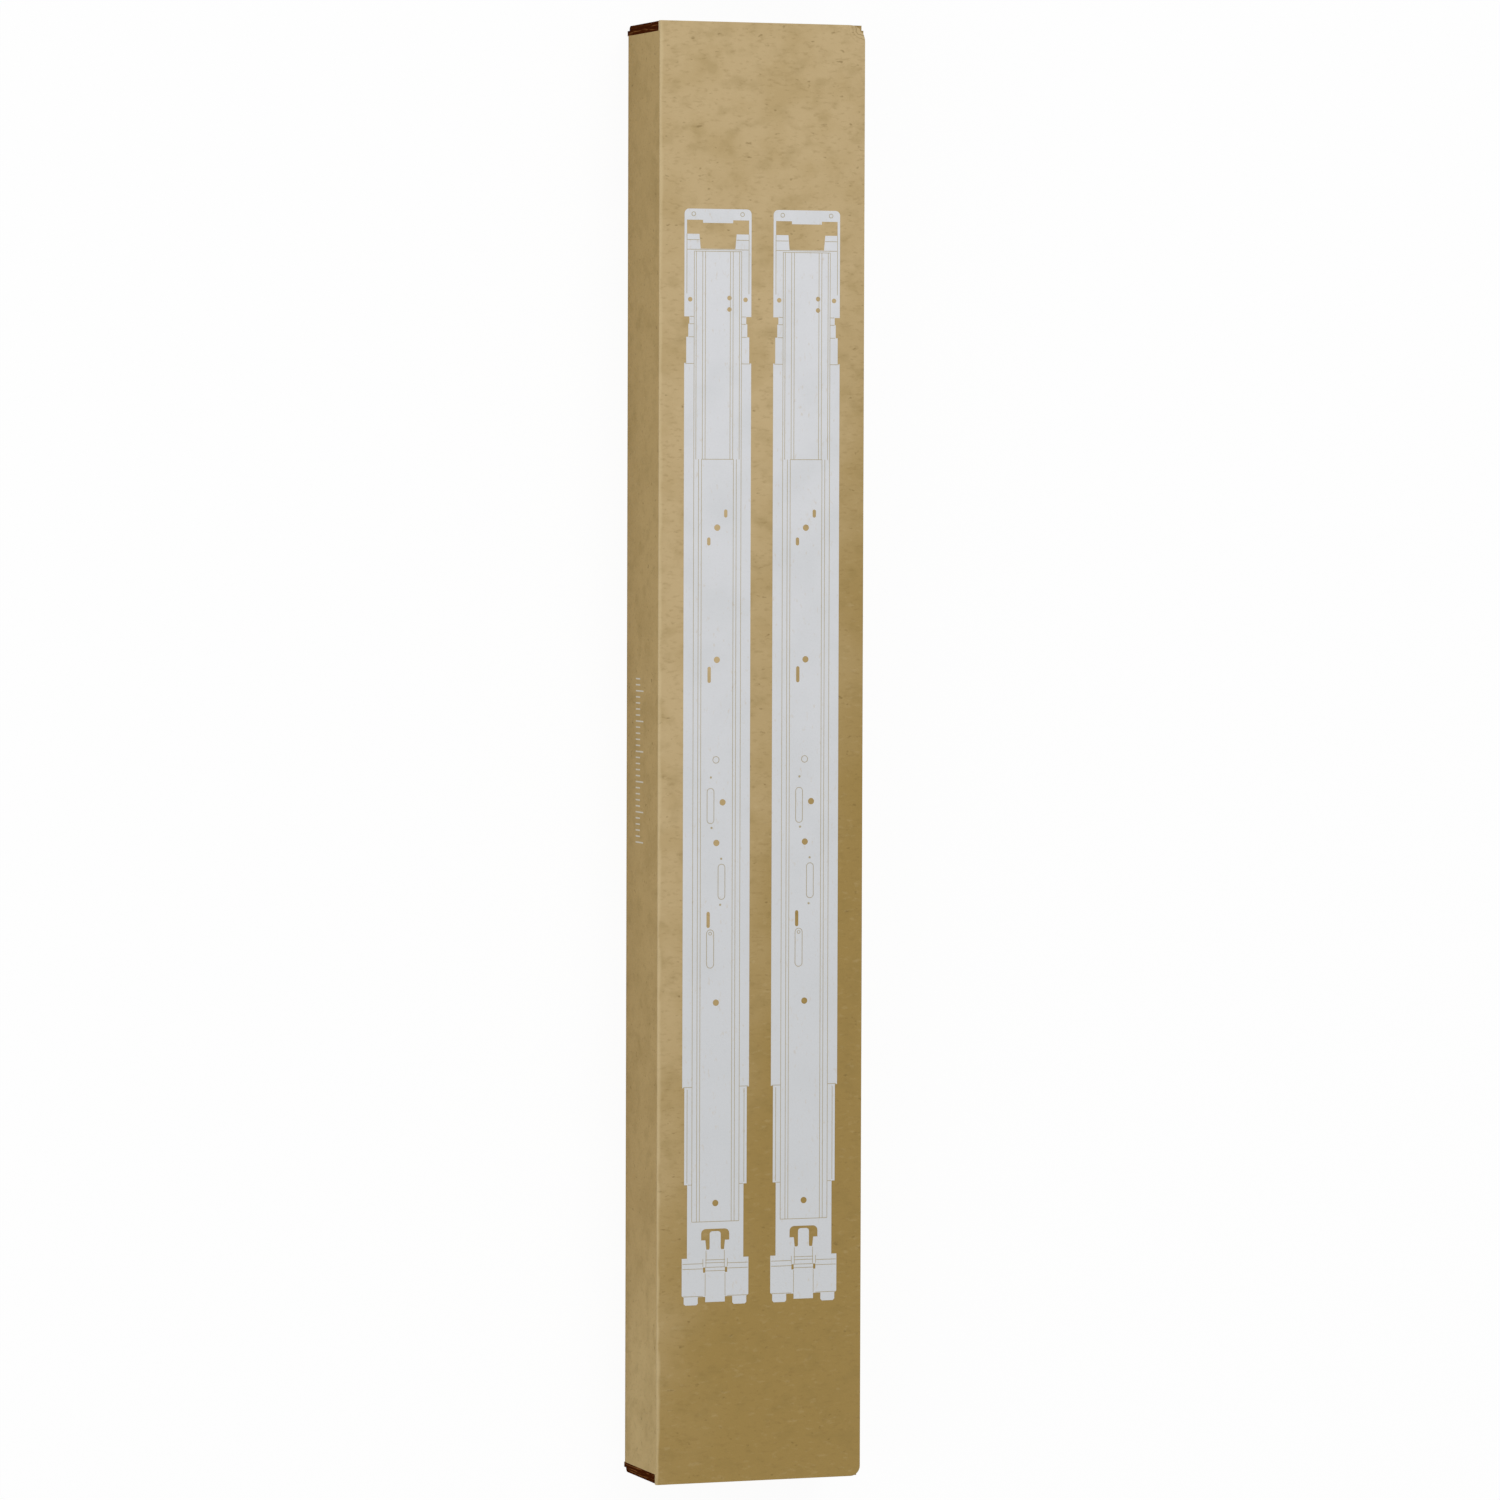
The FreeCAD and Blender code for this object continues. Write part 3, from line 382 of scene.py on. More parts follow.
def rolled_board():
    """Liner on the faces of an end wall, and painted shadow on the rolled edge at its sides."""
    material, tree, shader, place = new_material("kraft_rolled_end")
    liner = kraft_liner(tree, place, SIDE_PALE, SIDE_DEEP)
    facing = add(tree, "Math", {0: local_normal(tree).outputs["X"]}, operation="ABSOLUTE")
    sideways = add(tree, "MapRange", {"Value": facing, "From Min": 0.4, "From Max": 0.7})
    threads = patches(tree, place, 1.5, 0.52, 0.68, 0.8, (1, 0.5, 9.0))
    # Painted shadow: near black-brown on the sideways faces, with paler liner threads.
    dark = add(tree, "Mix", {"Factor": threads, "A": ROLL_PAINTED_SHADOW, "B": ROLL_THREAD}, data_type="RGBA")
    shown = add(tree, "Mix", {"Factor": sideways, "A": liner, "B": dark}, data_type="RGBA")
    gloss = add(tree, "MapRange", {"Value": sideways, "To Min": PAPER_SPECULAR, "To Max": 0.0})
    fuzz = patches(tree, place, 0.9, 0.2, 0.8, 0.4)
    height = add(tree, "Math", {0: threads, 1: fuzz}, operation="ADD")
    normal = add(tree, "Bump", {"Height": height, "Distance": ROLL_RELIEF_MM * MM})
    wire(tree, shader, {"Base Color": shown, "Roughness": PAPER_ROUGHNESS,
                        "Specular IOR Level": gloss, "Normal": normal})
    return material


ROLLED_BOARD = rolled_board()
print("rolled edge material:", ROLLED_BOARD.name)

# %% [markdown]
# ## Dressing the carton
# The panels keep their solids, and only get a material and a narrow bevel modifier, so that folds
# catch the light like bent board and not like cut steel.


# %% Carton panels
SHARP_DEGREES = 40
PANEL_BEVEL_STEPS = 3


def dress(node, material, bevel_mm=0.0, segments=2):
    """Give a solid its material and a narrow bevel on its sharp edges."""
    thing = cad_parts[node]
    thing.data.materials.clear()
    thing.data.materials.append(material)
    if bevel_mm:
        modifier = thing.modifiers.new("soft_edges", "BEVEL")
        modifier.width = bevel_mm * MM
        modifier.segments = segments
        modifier.limit_method = "ANGLE"
        modifier.angle_limit = math.radians(SHARP_DEGREES)


CARTON = {
    "carton_lid": (LID_BOARD, 1.0),
    "carton_floor": (FLOOR_BOARD, 0.4),
    "carton_left_wall": (SIDE_BOARD, 0.2),
    "carton_right_wall": (SIDE_BOARD, 0.2),
    "carton_front_wall": (ROLLED_BOARD, 0.5),
    "carton_rear_wall": (ROLLED_BOARD, 0.5),
    "carton_front_rolled_ply": (ROLLED_BOARD, 0.3),
    "carton_rear_rolled_ply": (ROLLED_BOARD, 0.3),
    "tuck_flap": (FLAP_BOARD, 0.4),
    "cover_pad": (FLOOR_BOARD, 0.3),
}
for node_name, (finish, width) in CARTON.items():
    dress(node_name, finish, width, PANEL_BEVEL_STEPS)
print("carton panels dressed:", len(CARTON))

# %% [markdown]
# ## The fold
# The lid and the left wall are one blank, scored where it bends. The outer liner crosses the
# score without a break, so a thin strip of it rises from the wall up to the rounded corner of the
# lid's edge, and no daylight shows at the hinge.

# %% Fold liner
LINER_MM = 0.06
FOLD_OVERLAP_MM = 0.4
FOLD_RISE_MM = 1.5
FOLD_STEPS = 10


def fold_liner():
    """Closed thin strip over the score, from the left wall to the lid's edge."""
    low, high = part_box("carton_left_wall")
    rises = [FOLD_RISE_MM * step / FOLD_STEPS for step in range(FOLD_STEPS + 1)]
    heights = [high[2] + rise * MM for rise in [-FOLD_OVERLAP_MM] + rises]
    work = bmesh.new()
    rows = [
        [
            [work.verts.new((low[0] + side * LINER_MM / 2 * MM, y, z)) for z in heights]
            for side in (-1, 1)
        ]
        for y in (low[1], high[1])
    ]
    (front_out, front_in), (rear_out, rear_in) = rows
    for k in range(len(heights) - 1):
        work.faces.new((front_out[k], front_out[k + 1], rear_out[k + 1], rear_out[k]))
        work.faces.new((front_in[k], rear_in[k], rear_in[k + 1], front_in[k + 1]))
        work.faces.new((front_out[k], front_in[k], front_in[k + 1], front_out[k + 1]))
        work.faces.new((rear_out[k], rear_out[k + 1], rear_in[k + 1], rear_in[k]))
    work.faces.new((front_out[0], rear_out[0], rear_in[0], front_in[0]))
    work.faces.new((front_out[-1], front_in[-1], rear_in[-1], rear_out[-1]))
    bmesh.ops.recalc_face_normals(work, faces=work.faces)
    open_edges = sum(1 for edge in work.edges if len(edge.link_faces) != 2)
    mesh = bpy.data.meshes.new("lid_fold_liner")
    work.to_mesh(mesh)
    work.free()
    mesh.materials.append(SIDE_BOARD)
    strip = bpy.data.objects.new("lid_fold_liner", mesh)
    bpy.context.collection.objects.link(strip)
    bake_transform(strip)
    print("fold liner faces", len(mesh.polygons), "open edges", open_edges)


fold_liner()

# %% [markdown]
# ## The ink drawing
# The lid carries a pale grey drawing of the part's own two rails, at four fifths of their size.
# Ink is a film on the board, so each rail is a very thin closed sheet: a filled outline whose
# holes show the board. A flat Blender curve fills an outline and cuts the closed splines inside
# it, which makes such a sheet without booleans. Fine lines are narrower sheets on top, in the
# colour of the board seen through a gap in the ink. The sizes come from the boxes of the left
# rail's solids.

# %% Ink sizes
PRINT_SCALE = 0.8
PRINT_PITCH_MM = 46.4
PRINT_SHIFT_MM = -1.7
INK_FILM_MM = 0.04
LINE_MM = 0.34
LID_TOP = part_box("carton_lid")[1][2]
SIDE_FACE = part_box("carton_left_wall")[0][0]
RAIL_X = (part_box("left_outer_member")[0][0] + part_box("left_outer_member")[1][0]) / 2


def spans(node):
    """Half-width, front and rear of a solid of the left rail, in mm about the rail's middle."""
    low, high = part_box("left_" + node)
    return (high[0] - low[0]) / 2 / MM, low[1] / MM, high[1] / MM


OUTER_HALF, OUTER_FRONT, OUTER_REAR = spans("outer_member")
_, MIDDLE_FRONT, MIDDLE_REAR = spans("intermediate_member")
INNER_REAR = spans("inner_member")[2]
BRACKET_HALF, BRACKET_FRONT, _ = spans("front_bracket")
BLOCK_HALF, BLOCK_FRONT, BLOCK_REAR = spans("latch_blocks")
LEVER_HALF, LEVER_FRONT, LEVER_REAR = spans("latch_lever")
PEG_FRONT = spans("front_pegs")[1]
REAR_END = spans("rear_bracket")[2]
HOOK_HALF, _, HOOK_REAR = spans("rear_hooks")
print("outer member:", round(OUTER_FRONT, 1), "to", round(OUTER_REAR, 1), "mm")

# %% [markdown]
# ### Outlines
# Outlines are lists of points in the rail's own millimetres, across and along. Round holes, slots
# and rounded rectangles come from one formula for an arc.


# %% Outline helpers
def arc(u, v, radius, start, sweep, count):
    """Points on an arc, with its angles in quarter turns."""
    turns = [math.pi / 2 * (start + sweep * i / count) for i in range(count + 1)]
    return [(u + radius * math.cos(t), v + radius * math.sin(t)) for t in turns]


def circle(u, v, radius, count=20):
    """Round hole or dot."""
    return arc(u, v, radius, 0, 4, count)[:-1]


def slot_outline(u, v, width, length):
    """Slot with round ends, its length along the rail."""
    reach = (length - width) / 2
    return arc(u, v + reach, width / 2, 0, 2, 8) + arc(u, v - reach, width / 2, 2, 2, 8)


def rectangle(u0, u1, v0, v1, radius=0.0):
    """Rectangle, with rounded corners if it has a radius."""
    if not radius:
        return [(u0, v0), (u1, v0), (u1, v1), (u0, v1)]
    centres = ((u1 - radius, v1 - radius), (u0 + radius, v1 - radius),
               (u0 + radius, v0 + radius), (u1 - radius, v0 + radius))
    points = []
    for quarter, (u, v) in enumerate(centres):
        points += arc(u, v, radius, quarter, 1, 5)
    return points


def mirrored(points):
    """Close a right-hand profile with its mirror image."""
    return points + [(-u, v) for u, v in reversed(points)]


# %% [markdown]
# ### From outlines to films
# The film function fills the outlines, gives the sheet its thickness, and stands it on the lid or
# on the left wall. It then rides on that body, so the drawing opens with the lid.


# %% Ink film
WELD_M = 1e-7


def ink_film(name, outlines, body, material, level_mm=0.0, wall=False):
    """Closed thin sheet from closed outlines in mm; an outline inside another cuts a hole."""
    curve = bpy.data.curves.new(name, "CURVE")
    curve.dimensions = "2D"
    curve.fill_mode = "BOTH"
    curve.extrude = INK_FILM_MM / 2 * MM
    for points in outlines:
        spline = curve.splines.new("POLY")
        spline.points.add(len(points) - 1)
        for point, (u, v) in zip(spline.points, points):
            point.co = (u * MM, v * MM, 0.0, 1.0)
        spline.use_cyclic_u = True
    source = bpy.data.objects.new(name + "_outline", curve)
    bpy.context.collection.objects.link(source)
    graph = bpy.context.evaluated_depsgraph_get()
    mesh = bpy.data.meshes.new_from_object(source.evaluated_get(graph))
    bpy.data.objects.remove(source)
    work = bmesh.new()
    work.from_mesh(mesh)
    bmesh.ops.remove_doubles(work, verts=work.verts, dist=WELD_M)
    for vertex in work.verts:
        x, y, z = vertex.co
        z += (level_mm + INK_FILM_MM / 2) * MM
        vertex.co = (SIDE_FACE - z, y, x) if wall else (x, y, LID_TOP + z)
    bmesh.ops.recalc_face_normals(work, faces=work.faces)
    open_edges = sum(1 for edge in work.edges if len(edge.link_faces) != 2)
    work.to_mesh(mesh)
    work.free()
    mesh.name = name
    mesh.materials.clear()
    mesh.materials.append(material)
    sheet = bpy.data.objects.new(name, mesh)
    bpy.context.collection.objects.link(sheet)
    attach(sheet, body)
    print(name, "faces", len(mesh.polygons), "open edges", open_edges)


def printed(points, side):
    """Place rail points on the lid, on the left (-1) or right (1) drawing."""
    middle = side * PRINT_PITCH_MM / 2
    return [(middle + u * PRINT_SCALE, PRINT_SHIFT_MM + v * PRINT_SCALE) for u, v in points]


# %% [markdown]
# ### Ink materials
# The drawing is screen-printed in one pale grey, an opaque matt ink. It lies thin over the
# fibres, so the darkest of them show through as faint specks, and like the board it is painted a
# little duller towards the front as painted shade. A line is the board seen in a narrow gap,
# softened by ink that has crept in.


# %% Ink materials
INK_SHADE_MM = (-280.0, 300.0)
INK_RELIEF_MM = 0.05


def ink(name, pale, dull, through):
    """Thin matt ink: one tone with painted shade that dulls it towards the front, with fibres that
    show through.
    """
    material, tree, shader, place = new_material(name)
    axes = add(tree, "SeparateXYZ", {"Vector": place})
    # Painted shade: the ink turns duller towards the front, like the lid.
    front = add(tree, "MapRange", {"Value": axes.outputs["Y"], "From Min": INK_SHADE_MM[0] * MM,
                                   "From Max": INK_SHADE_MM[1] * MM, "To Min": 0.8, "To Max": 0.0},
                interpolation_type="SMOOTHSTEP")
    shown = add(tree, "Mix", {"Factor": front, "A": pale, "B": dull}, data_type="RGBA")
    cloud = patches(tree, place, 22, 0.35, 0.75, 0.5)
    shown = add(tree, "Mix", {"Factor": cloud, "A": shown, "B": dull}, data_type="RGBA")
    speck = patches(tree, place, 1.3, 0.60, 0.80, 0.30, (1, 2.5, 1))
    shown = add(tree, "Mix", {"Factor": speck, "A": shown, "B": through}, data_type="RGBA")
    film = patches(tree, place, 0.9, 0.2, 0.8, 1.0, (1.5, 1, 1), 4.0)
    normal = add(tree, "Bump", {"Height": film, "Distance": INK_RELIEF_MM * MM})
    wire(tree, shader, {"Base Color": shown, "Roughness": 0.7, "Specular IOR Level": 0.3,
                        "Normal": normal})
    return material


PALE_INK = ink("pale_grey_screen_ink", colour("#D5D6D9"), colour("#C8CACC"), KRAFT_PALE)
GAP_LINE = ink("board_seen_in_ink_gap", colour("#B3A78A"), colour("#A89B7C"), KRAFT_FIBRE)
WALL_INK = ink("pale_grey_wall_ink", colour("#CDC8BA"), colour("#C2BBAA"), KRAFT_PALE)
print("ink materials:", PALE_INK.name, GAP_LINE.name, WALL_INK.name)

# %% [markdown]
# ### Silhouette of one rail
# The silhouette goes down one side from the rear end bar to the pegs, by the half-width of
# whatever solid is widest there, and is then mirrored.

# %% Silhouette
STEP_SETBACKS = (1.3, 2.6, 3.3)
HEAD_LENGTH, NECK_LENGTH, STEP_LENGTH = 66.0, 4.5, 8.0
FLANGE_LENGTH = 60.0
FLANGE_WIDTH = 2.0
BLOCK_SHOULDER = 14.0
HEAD_FRONT = REAR_END - HEAD_LENGTH
NECK_FRONT = HEAD_FRONT - NECK_LENGTH
STEP_FRONT = NECK_FRONT - STEP_LENGTH
FLANGE_FRONT = OUTER_FRONT - FLANGE_LENGTH
PLATE_HALF = BRACKET_HALF - FLANGE_WIDTH
BLOCK_BACK = BLOCK_REAR - BLOCK_SHOULDER
PEG_RADIUS = 4.6
PEG_PITCH_MM = 31.75
BAR_CORNER_MM = 3.0
PEG_NOSE_MM = 1.0
BLOCK_CHAMFER = 1.0


def silhouette():
    """Outline of a whole rail, from the rear end bar to the pegs."""
    profile = arc(OUTER_HALF - BAR_CORNER_MM, REAR_END - BAR_CORNER_MM, BAR_CORNER_MM, 1, -1, 5)
    steps = [(OUTER_HALF, HEAD_FRONT, OUTER_HALF - STEP_SETBACKS[2]),
             (OUTER_HALF - STEP_SETBACKS[2], NECK_FRONT, OUTER_HALF - STEP_SETBACKS[1]),
             (OUTER_HALF - STEP_SETBACKS[1], STEP_FRONT, OUTER_HALF - STEP_SETBACKS[0]),
             (OUTER_HALF - STEP_SETBACKS[0], OUTER_REAR, OUTER_HALF),
             (OUTER_HALF, OUTER_FRONT, BRACKET_HALF),
             (BRACKET_HALF, FLANGE_FRONT, PLATE_HALF),
             (PLATE_HALF, BLOCK_BACK, BLOCK_HALF)]
    for before, v, after in steps:
        profile += [(before, v), (after, v)]
    outside, inside = PEG_PITCH_MM / 2 + PEG_RADIUS, PEG_PITCH_MM / 2 - PEG_RADIUS
    nose = PEG_FRONT + PEG_NOSE_MM
    profile += [(BLOCK_HALF, BLOCK_FRONT + BLOCK_CHAMFER),
                (BLOCK_HALF - BLOCK_CHAMFER, BLOCK_FRONT),
                (outside, BLOCK_FRONT), (outside, nose), (outside - PEG_NOSE_MM, PEG_FRONT),
                (inside + PEG_NOSE_MM, PEG_FRONT), (inside, nose), (inside, BLOCK_FRONT),
                (LEVER_HALF, BLOCK_FRONT), (LEVER_HALF, LEVER_FRONT)]
    return mirrored(profile)


print("silhouette points:", len(silhouette()))

# %% [markdown]
# ### Holes of one rail
# Inside the silhouette, board shows through the opening behind the rail, the holes and slots of
# the inner member and the rear bracket, the arched cut-out around the lever's tail, and the slits
# between the lever and its blocks.

# %% Holes
ARM_MM = 1.6
BAR_MM = 6.8
BAR_TAB_HALF = 9.8
BAR_TAB_MM = 1.8
HOOK_WIDTH = 7.8
HOOK_TAPER = 0.8
CUT_HALF = 9.2
CUT_REAR = BRACKET_FRONT + 18.0
CUT_NECK_HALF = 6.4
CUT_WIDE_LENGTH = 7.0
CUT_CORNER = 3.0
CUT_LENGTH = 12.8
CUT_LEG_TAPER = 0.6
CUT_LEG_GAP = 0.4
TAIL_HALF = 3.6
TAIL_CORNER = 1.8
SLIT_MM = 1.5
SLIT_FRONT = BLOCK_BACK - 9.0
SLIT_LENGTH = 3.2
REAR_HOLE_RADIUS = 1.45
INNER_HOLE_RADIUS = 2.0
INNER_SLOT_WIDTH = 2.2
INNER_HOLES = ((0, 42.0), (0, 123.3), (4.0, 211.1), (0, 236.1), (0, 334.7), (0, 458.6))
INNER_SLOTS = ((5.5, 33.3, 5.0), (-5.5, 50.5, 5.0), (-5.0, 132.5, 10.0), (-5.2, 283.5, 10.0))
REAR_HOLES = ((-18.0, 10.5), (18.0, 10.5), (7.5, 11.5), (7.5, 4.5))


def frame_opening():
    """Space between the end bar, the arms and the hooks."""
    inside, bar, hook_in = OUTER_HALF - ARM_MM, REAR_END - BAR_MM, HOOK_HALF - HOOK_WIDTH
    return mirrored([(BAR_TAB_HALF, bar - BAR_TAB_MM), (BAR_TAB_HALF, bar), (inside, bar),
                     (inside, HOOK_REAR), (hook_in, HOOK_REAR),
                     (hook_in - HOOK_TAPER, MIDDLE_REAR)])


def lever_cutout():
    """Arched opening around the lever's tail, with two narrower legs."""
    neck, foot = CUT_REAR - CUT_WIDE_LENGTH, CUT_REAR - CUT_LENGTH
    outer = arc(CUT_HALF - CUT_CORNER, CUT_REAR - CUT_CORNER, CUT_CORNER, 1, -1, 5)
    outer += [(CUT_HALF, neck), (CUT_NECK_HALF, neck), (CUT_NECK_HALF - CUT_LEG_TAPER, foot),
              (TAIL_HALF + CUT_LEG_GAP, foot), (TAIL_HALF, foot + 1)]
    inner = arc(TAIL_HALF - TAIL_CORNER, LEVER_REAR - TAIL_CORNER, TAIL_CORNER, 0, 1, 5)
    return mirrored(outer + inner)


def reach(side, inside, outside):
    """The same stretch across a rail on its left (-1) or right (1), lowest end first."""
    return sorted((side * inside, side * outside))


def lever_slits():
    """Short gaps between the lever's hinge and the blocks."""
    return [rectangle(*reach(side, LEVER_HALF, LEVER_HALF + SLIT_MM),
                      SLIT_FRONT, SLIT_FRONT + SLIT_LENGTH) for side in (-1, 1)]


def rail_holes():
    """All that shows the board inside the silhouette."""
    holes = [frame_opening(), lever_cutout()] + lever_slits()
    holes += [circle(u, HEAD_FRONT + v, REAR_HOLE_RADIUS) for u, v in REAR_HOLES]
    holes += [circle(u, INNER_REAR - v, INNER_HOLE_RADIUS) for u, v in INNER_HOLES]
    holes += [slot_outline(u, INNER_REAR - v, INNER_SLOT_WIDTH, length)
              for u, v, length in INNER_SLOTS]
    return holes


for side_name, side in (("left", -1), ("right", 1)):
    outlines = [printed(points, side) for points in [silhouette()] + rail_holes()]
    ink_film("ink_rail_" + side_name, outlines, "lid", PALE_INK)

# %% [markdown]
# ### Fine lines of one rail
# Member edges, windows and steps are narrow frames: an outline, and the same outline moved in by
# the line's width. Straight lines are thin rectangles. Lines along the rail and lines across it
# would cut each other out where they cross, so they are kept as two lists and become two films.


# %% Line helpers
LEAST_RADIUS = 0.05


def line_along(u, v0, v1):
    """Line of the usual width from v0 to v1."""
    return rectangle(u - LINE_MM / 2, u + LINE_MM / 2, v0, v1)


def line_across(v, u0, u1):
    """Line of the usual width from u0 to u1."""
    return rectangle(u0, u1, v - LINE_MM / 2, v + LINE_MM / 2)


def frame_line(u0, u1, v0, v1, radius):
    """Narrow frame just inside a rounded rectangle."""
    inside = max(radius - LINE_MM, LEAST_RADIUS)
    return [rectangle(u0, u1, v0, v1, radius),
            rectangle(u0 + LINE_MM, u1 - LINE_MM, v0 + LINE_MM, v1 - LINE_MM, inside)]


def ring(u, v, radius):
    """Narrow ring just inside a circle."""
    return [circle(u, v, radius), circle(u, v, radius - LINE_MM)]


# %% [markdown]
# Behind the inner member one looks into the intermediate member, so its lines sit elsewhere there
# than beside the inner member.

# %% Lines along and across
LIP_LINE = 15.4
BEHIND_LINES = (14.1, 9.9, 8.1)
BESIDE_LINES = (12.3, 10.4)
BLOCK_LINE_V = (BLOCK_BACK - 3.4, BLOCK_BACK - 6.6)
LEVER_LINE_V = (BLOCK_BACK - 1.2, BLOCK_BACK - 3.0, BLOCK_BACK - 5.8, BLOCK_BACK - 8.0)
SHOULDERS = ((OUTER_REAR - LINE_MM, OUTER_HALF - 0.6), (OUTER_FRONT + LINE_MM, OUTER_HALF - 0.6),
             (STEP_FRONT, OUTER_HALF - 3.0), (NECK_FRONT, OUTER_HALF - 3.5),
             (HEAD_FRONT, OUTER_HALF - 3.6), (FLANGE_FRONT, PLATE_HALF - 0.4))
RELEASE_LOW, RELEASE_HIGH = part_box("left_release_lever")
INNER_WINDOWS = ((-3.9, 213.3), (3.4, 260.1))
INNER_DOTS = ((-3.7, 195.7), (-3.2, 226.8), (3.2, 245.9), (2.6, 274.3))
WINDOW_HALF, WINDOW_REACH, WINDOW_CORNER = 2.4, 11.0, 2.3
INNER_STUD = (-0.4, 184.9)
LIP_END = MIDDLE_REAR - 1.5
LATCH_FRAME = LEVER_HALF + 1.6
LATCH_STEP = BLOCK_BACK - 5.4
FLANGE_LINE = BRACKET_HALF - 1.8
ARM_LINE_FRONT = HEAD_FRONT + 14.0
CUT_LINE = CUT_NECK_HALF - 0.4
HOOK_STEP = HOOK_REAR - 3.6
BAR_MARK_V = REAR_END - 3.2
DOT_RADIUS, STUD_RADIUS, RELEASE_RADIUS, BAR_MARK_RADIUS = 0.7, 2.2, 1.1, 1.4


def lines_along():
    """Edges of the members, the bracket and the lever that run along the rail."""
    lines = []
    for side in (-1, 1):
        lines.append(line_along(side * LIP_LINE, MIDDLE_FRONT, LIP_END))
        lines += [line_along(side * u, INNER_REAR, LIP_END) for u in BEHIND_LINES]
        lines += [line_along(side * u, MIDDLE_FRONT, INNER_REAR) for u in BESIDE_LINES]
        lines.append(line_along(side * FLANGE_LINE, FLANGE_FRONT + 1, OUTER_FRONT - 1))
        lines.append(line_along(side * (OUTER_HALF - ARM_MM), ARM_LINE_FRONT, HOOK_REAR))
        lines.append(line_along(side * (LEVER_HALF + 0.1), BLOCK_FRONT + 0.5, BLOCK_BACK - 9.5))
        lines.append(line_along(side * CUT_LINE, LATCH_STEP, CUT_REAR - CUT_LENGTH - 0.5))
        lines.append(line_along(side * LATCH_FRAME, LATCH_STEP, BLOCK_BACK - 0.5))
    return lines


def lines_across():
    """Ends of the members, and the steps and edges that run across the rail."""
    lines = [line_across(v, -half, half) for v, half in (
        (MIDDLE_REAR - 0.4, HOOK_HALF), (LIP_END, LIP_LINE), (MIDDLE_FRONT, LIP_LINE),
        (INNER_REAR, BESIDE_LINES[1]))]
    lines += [line_across(v, -LEVER_HALF, LEVER_HALF) for v in LEVER_LINE_V]
    for side in (-1, 1):
        for v in BLOCK_LINE_V + (BLOCK_FRONT + 0.4,):
            lines.append(line_across(v, *reach(side, LATCH_FRAME, BLOCK_HALF - 0.5)))
        for v, half in SHOULDERS:
            lines.append(line_across(v, *reach(side, LIP_LINE, half)))
        lines.append(line_across(HOOK_STEP, *reach(side, HOOK_HALF - HOOK_WIDTH, HOOK_HALF)))
    return lines


def small_frames():
    """Windows, dots, the release lever and the round marks."""
    frames = []
    for u, v in INNER_WINDOWS:
        frames += frame_line(u - WINDOW_HALF, u + WINDOW_HALF, INNER_REAR - v - WINDOW_REACH,
                             INNER_REAR - v + WINDOW_REACH, WINDOW_CORNER)
    for u, v in INNER_DOTS:
        frames.append(circle(u, INNER_REAR - v, DOT_RADIUS, 10))
    frames += ring(INNER_STUD[0], INNER_REAR - INNER_STUD[1], STUD_RADIUS)
    u0, u1 = (RELEASE_LOW[0] - RAIL_X) / MM, (RELEASE_HIGH[0] - RAIL_X) / MM
    v0, v1 = RELEASE_LOW[1] / MM, RELEASE_HIGH[1] / MM
    frames += frame_line(u0, u1, v0, v1, (u1 - u0) / 2 - 0.01)
    frames += ring((u0 + u1) / 2, v1 - (u1 - u0) / 2, RELEASE_RADIUS)
    for side in (-1, 1):
        frames += ring(side * PEG_PITCH_MM / 2, BAR_MARK_V, BAR_MARK_RADIUS)
    return frames


for side_name, side in (("left", -1), ("right", 1)):
    for kind, outlines, level in (("along", lines_along(), 1.0), ("across", lines_across(), 1.5),
                                  ("frames", small_frames(), 2.0)):
        ink_film(f"ink_{kind}_{side_name}", [printed(points, side) for points in outlines],
                 "lid", GAP_LINE, level * INK_FILM_MM)

# %% [markdown]
# ### Tick marks on the narrow side
# The left wall has a plain measuring scale in the same pale ink: ticks three millimetres apart,
# with a taller one at every fifth. They lie on the wall's face, half-way along it.

# %% Side ticks
TICK_STEP_MM = 3.0
TICK_COUNT = 28
TICK_LOW_MM = 15.5
TICK_MIDDLE_MM = -3.6
TICK_HALF_MM = 0.35
TALL_TICK_MM = 11.5
SHORT_TICK_MM = 6.5
TALL_EVERY = 5
ticks = []
for index in range(TICK_COUNT):
    tall = SHORT_TICK_MM if index % TALL_EVERY else TALL_TICK_MM
    middle = TICK_MIDDLE_MM + (index - (TICK_COUNT - 1) / 2) * TICK_STEP_MM
    ticks.append(rectangle(TICK_LOW_MM, TICK_LOW_MM + tall,
                           middle - TICK_HALF_MM, middle + TICK_HALF_MM))
ink_film("ink_side_ticks", ticks, "carton", WALL_INK, wall=True)
print("ticks:", TICK_COUNT)

# %% [markdown]
# ## Foam and card
# The rails lie on a grey pad of polyethylene foam, with foam along both walls and at both ends of
# the top layer. It is cut from blown sheet, so it is matt, an even field of cells half a
# millimetre across with some broken open, their hollows painted darker as painted shade. The cells
# are drawn a little over real size so that they show. The divider and the tray are grey-brown
# recycled card, calendered smooth, with faint fibres.


# %% Foam and card materials
FOAM_PIT_SHADE, FOAM_WALL, FOAM_PALE = colour("#5A5B5F"), colour("#7C7D80"), colour("#8A8B8D")
CARD_DARK, CARD_PALE, CARD_SPECK = colour("#8E7A5A"), colour("#A08D6C"), colour("#5F5038")
FOAM_CELLS_PER_M = 900.0
FOAM_RELIEF_MM = 0.3
CARD_RELIEF_MM = 0.08


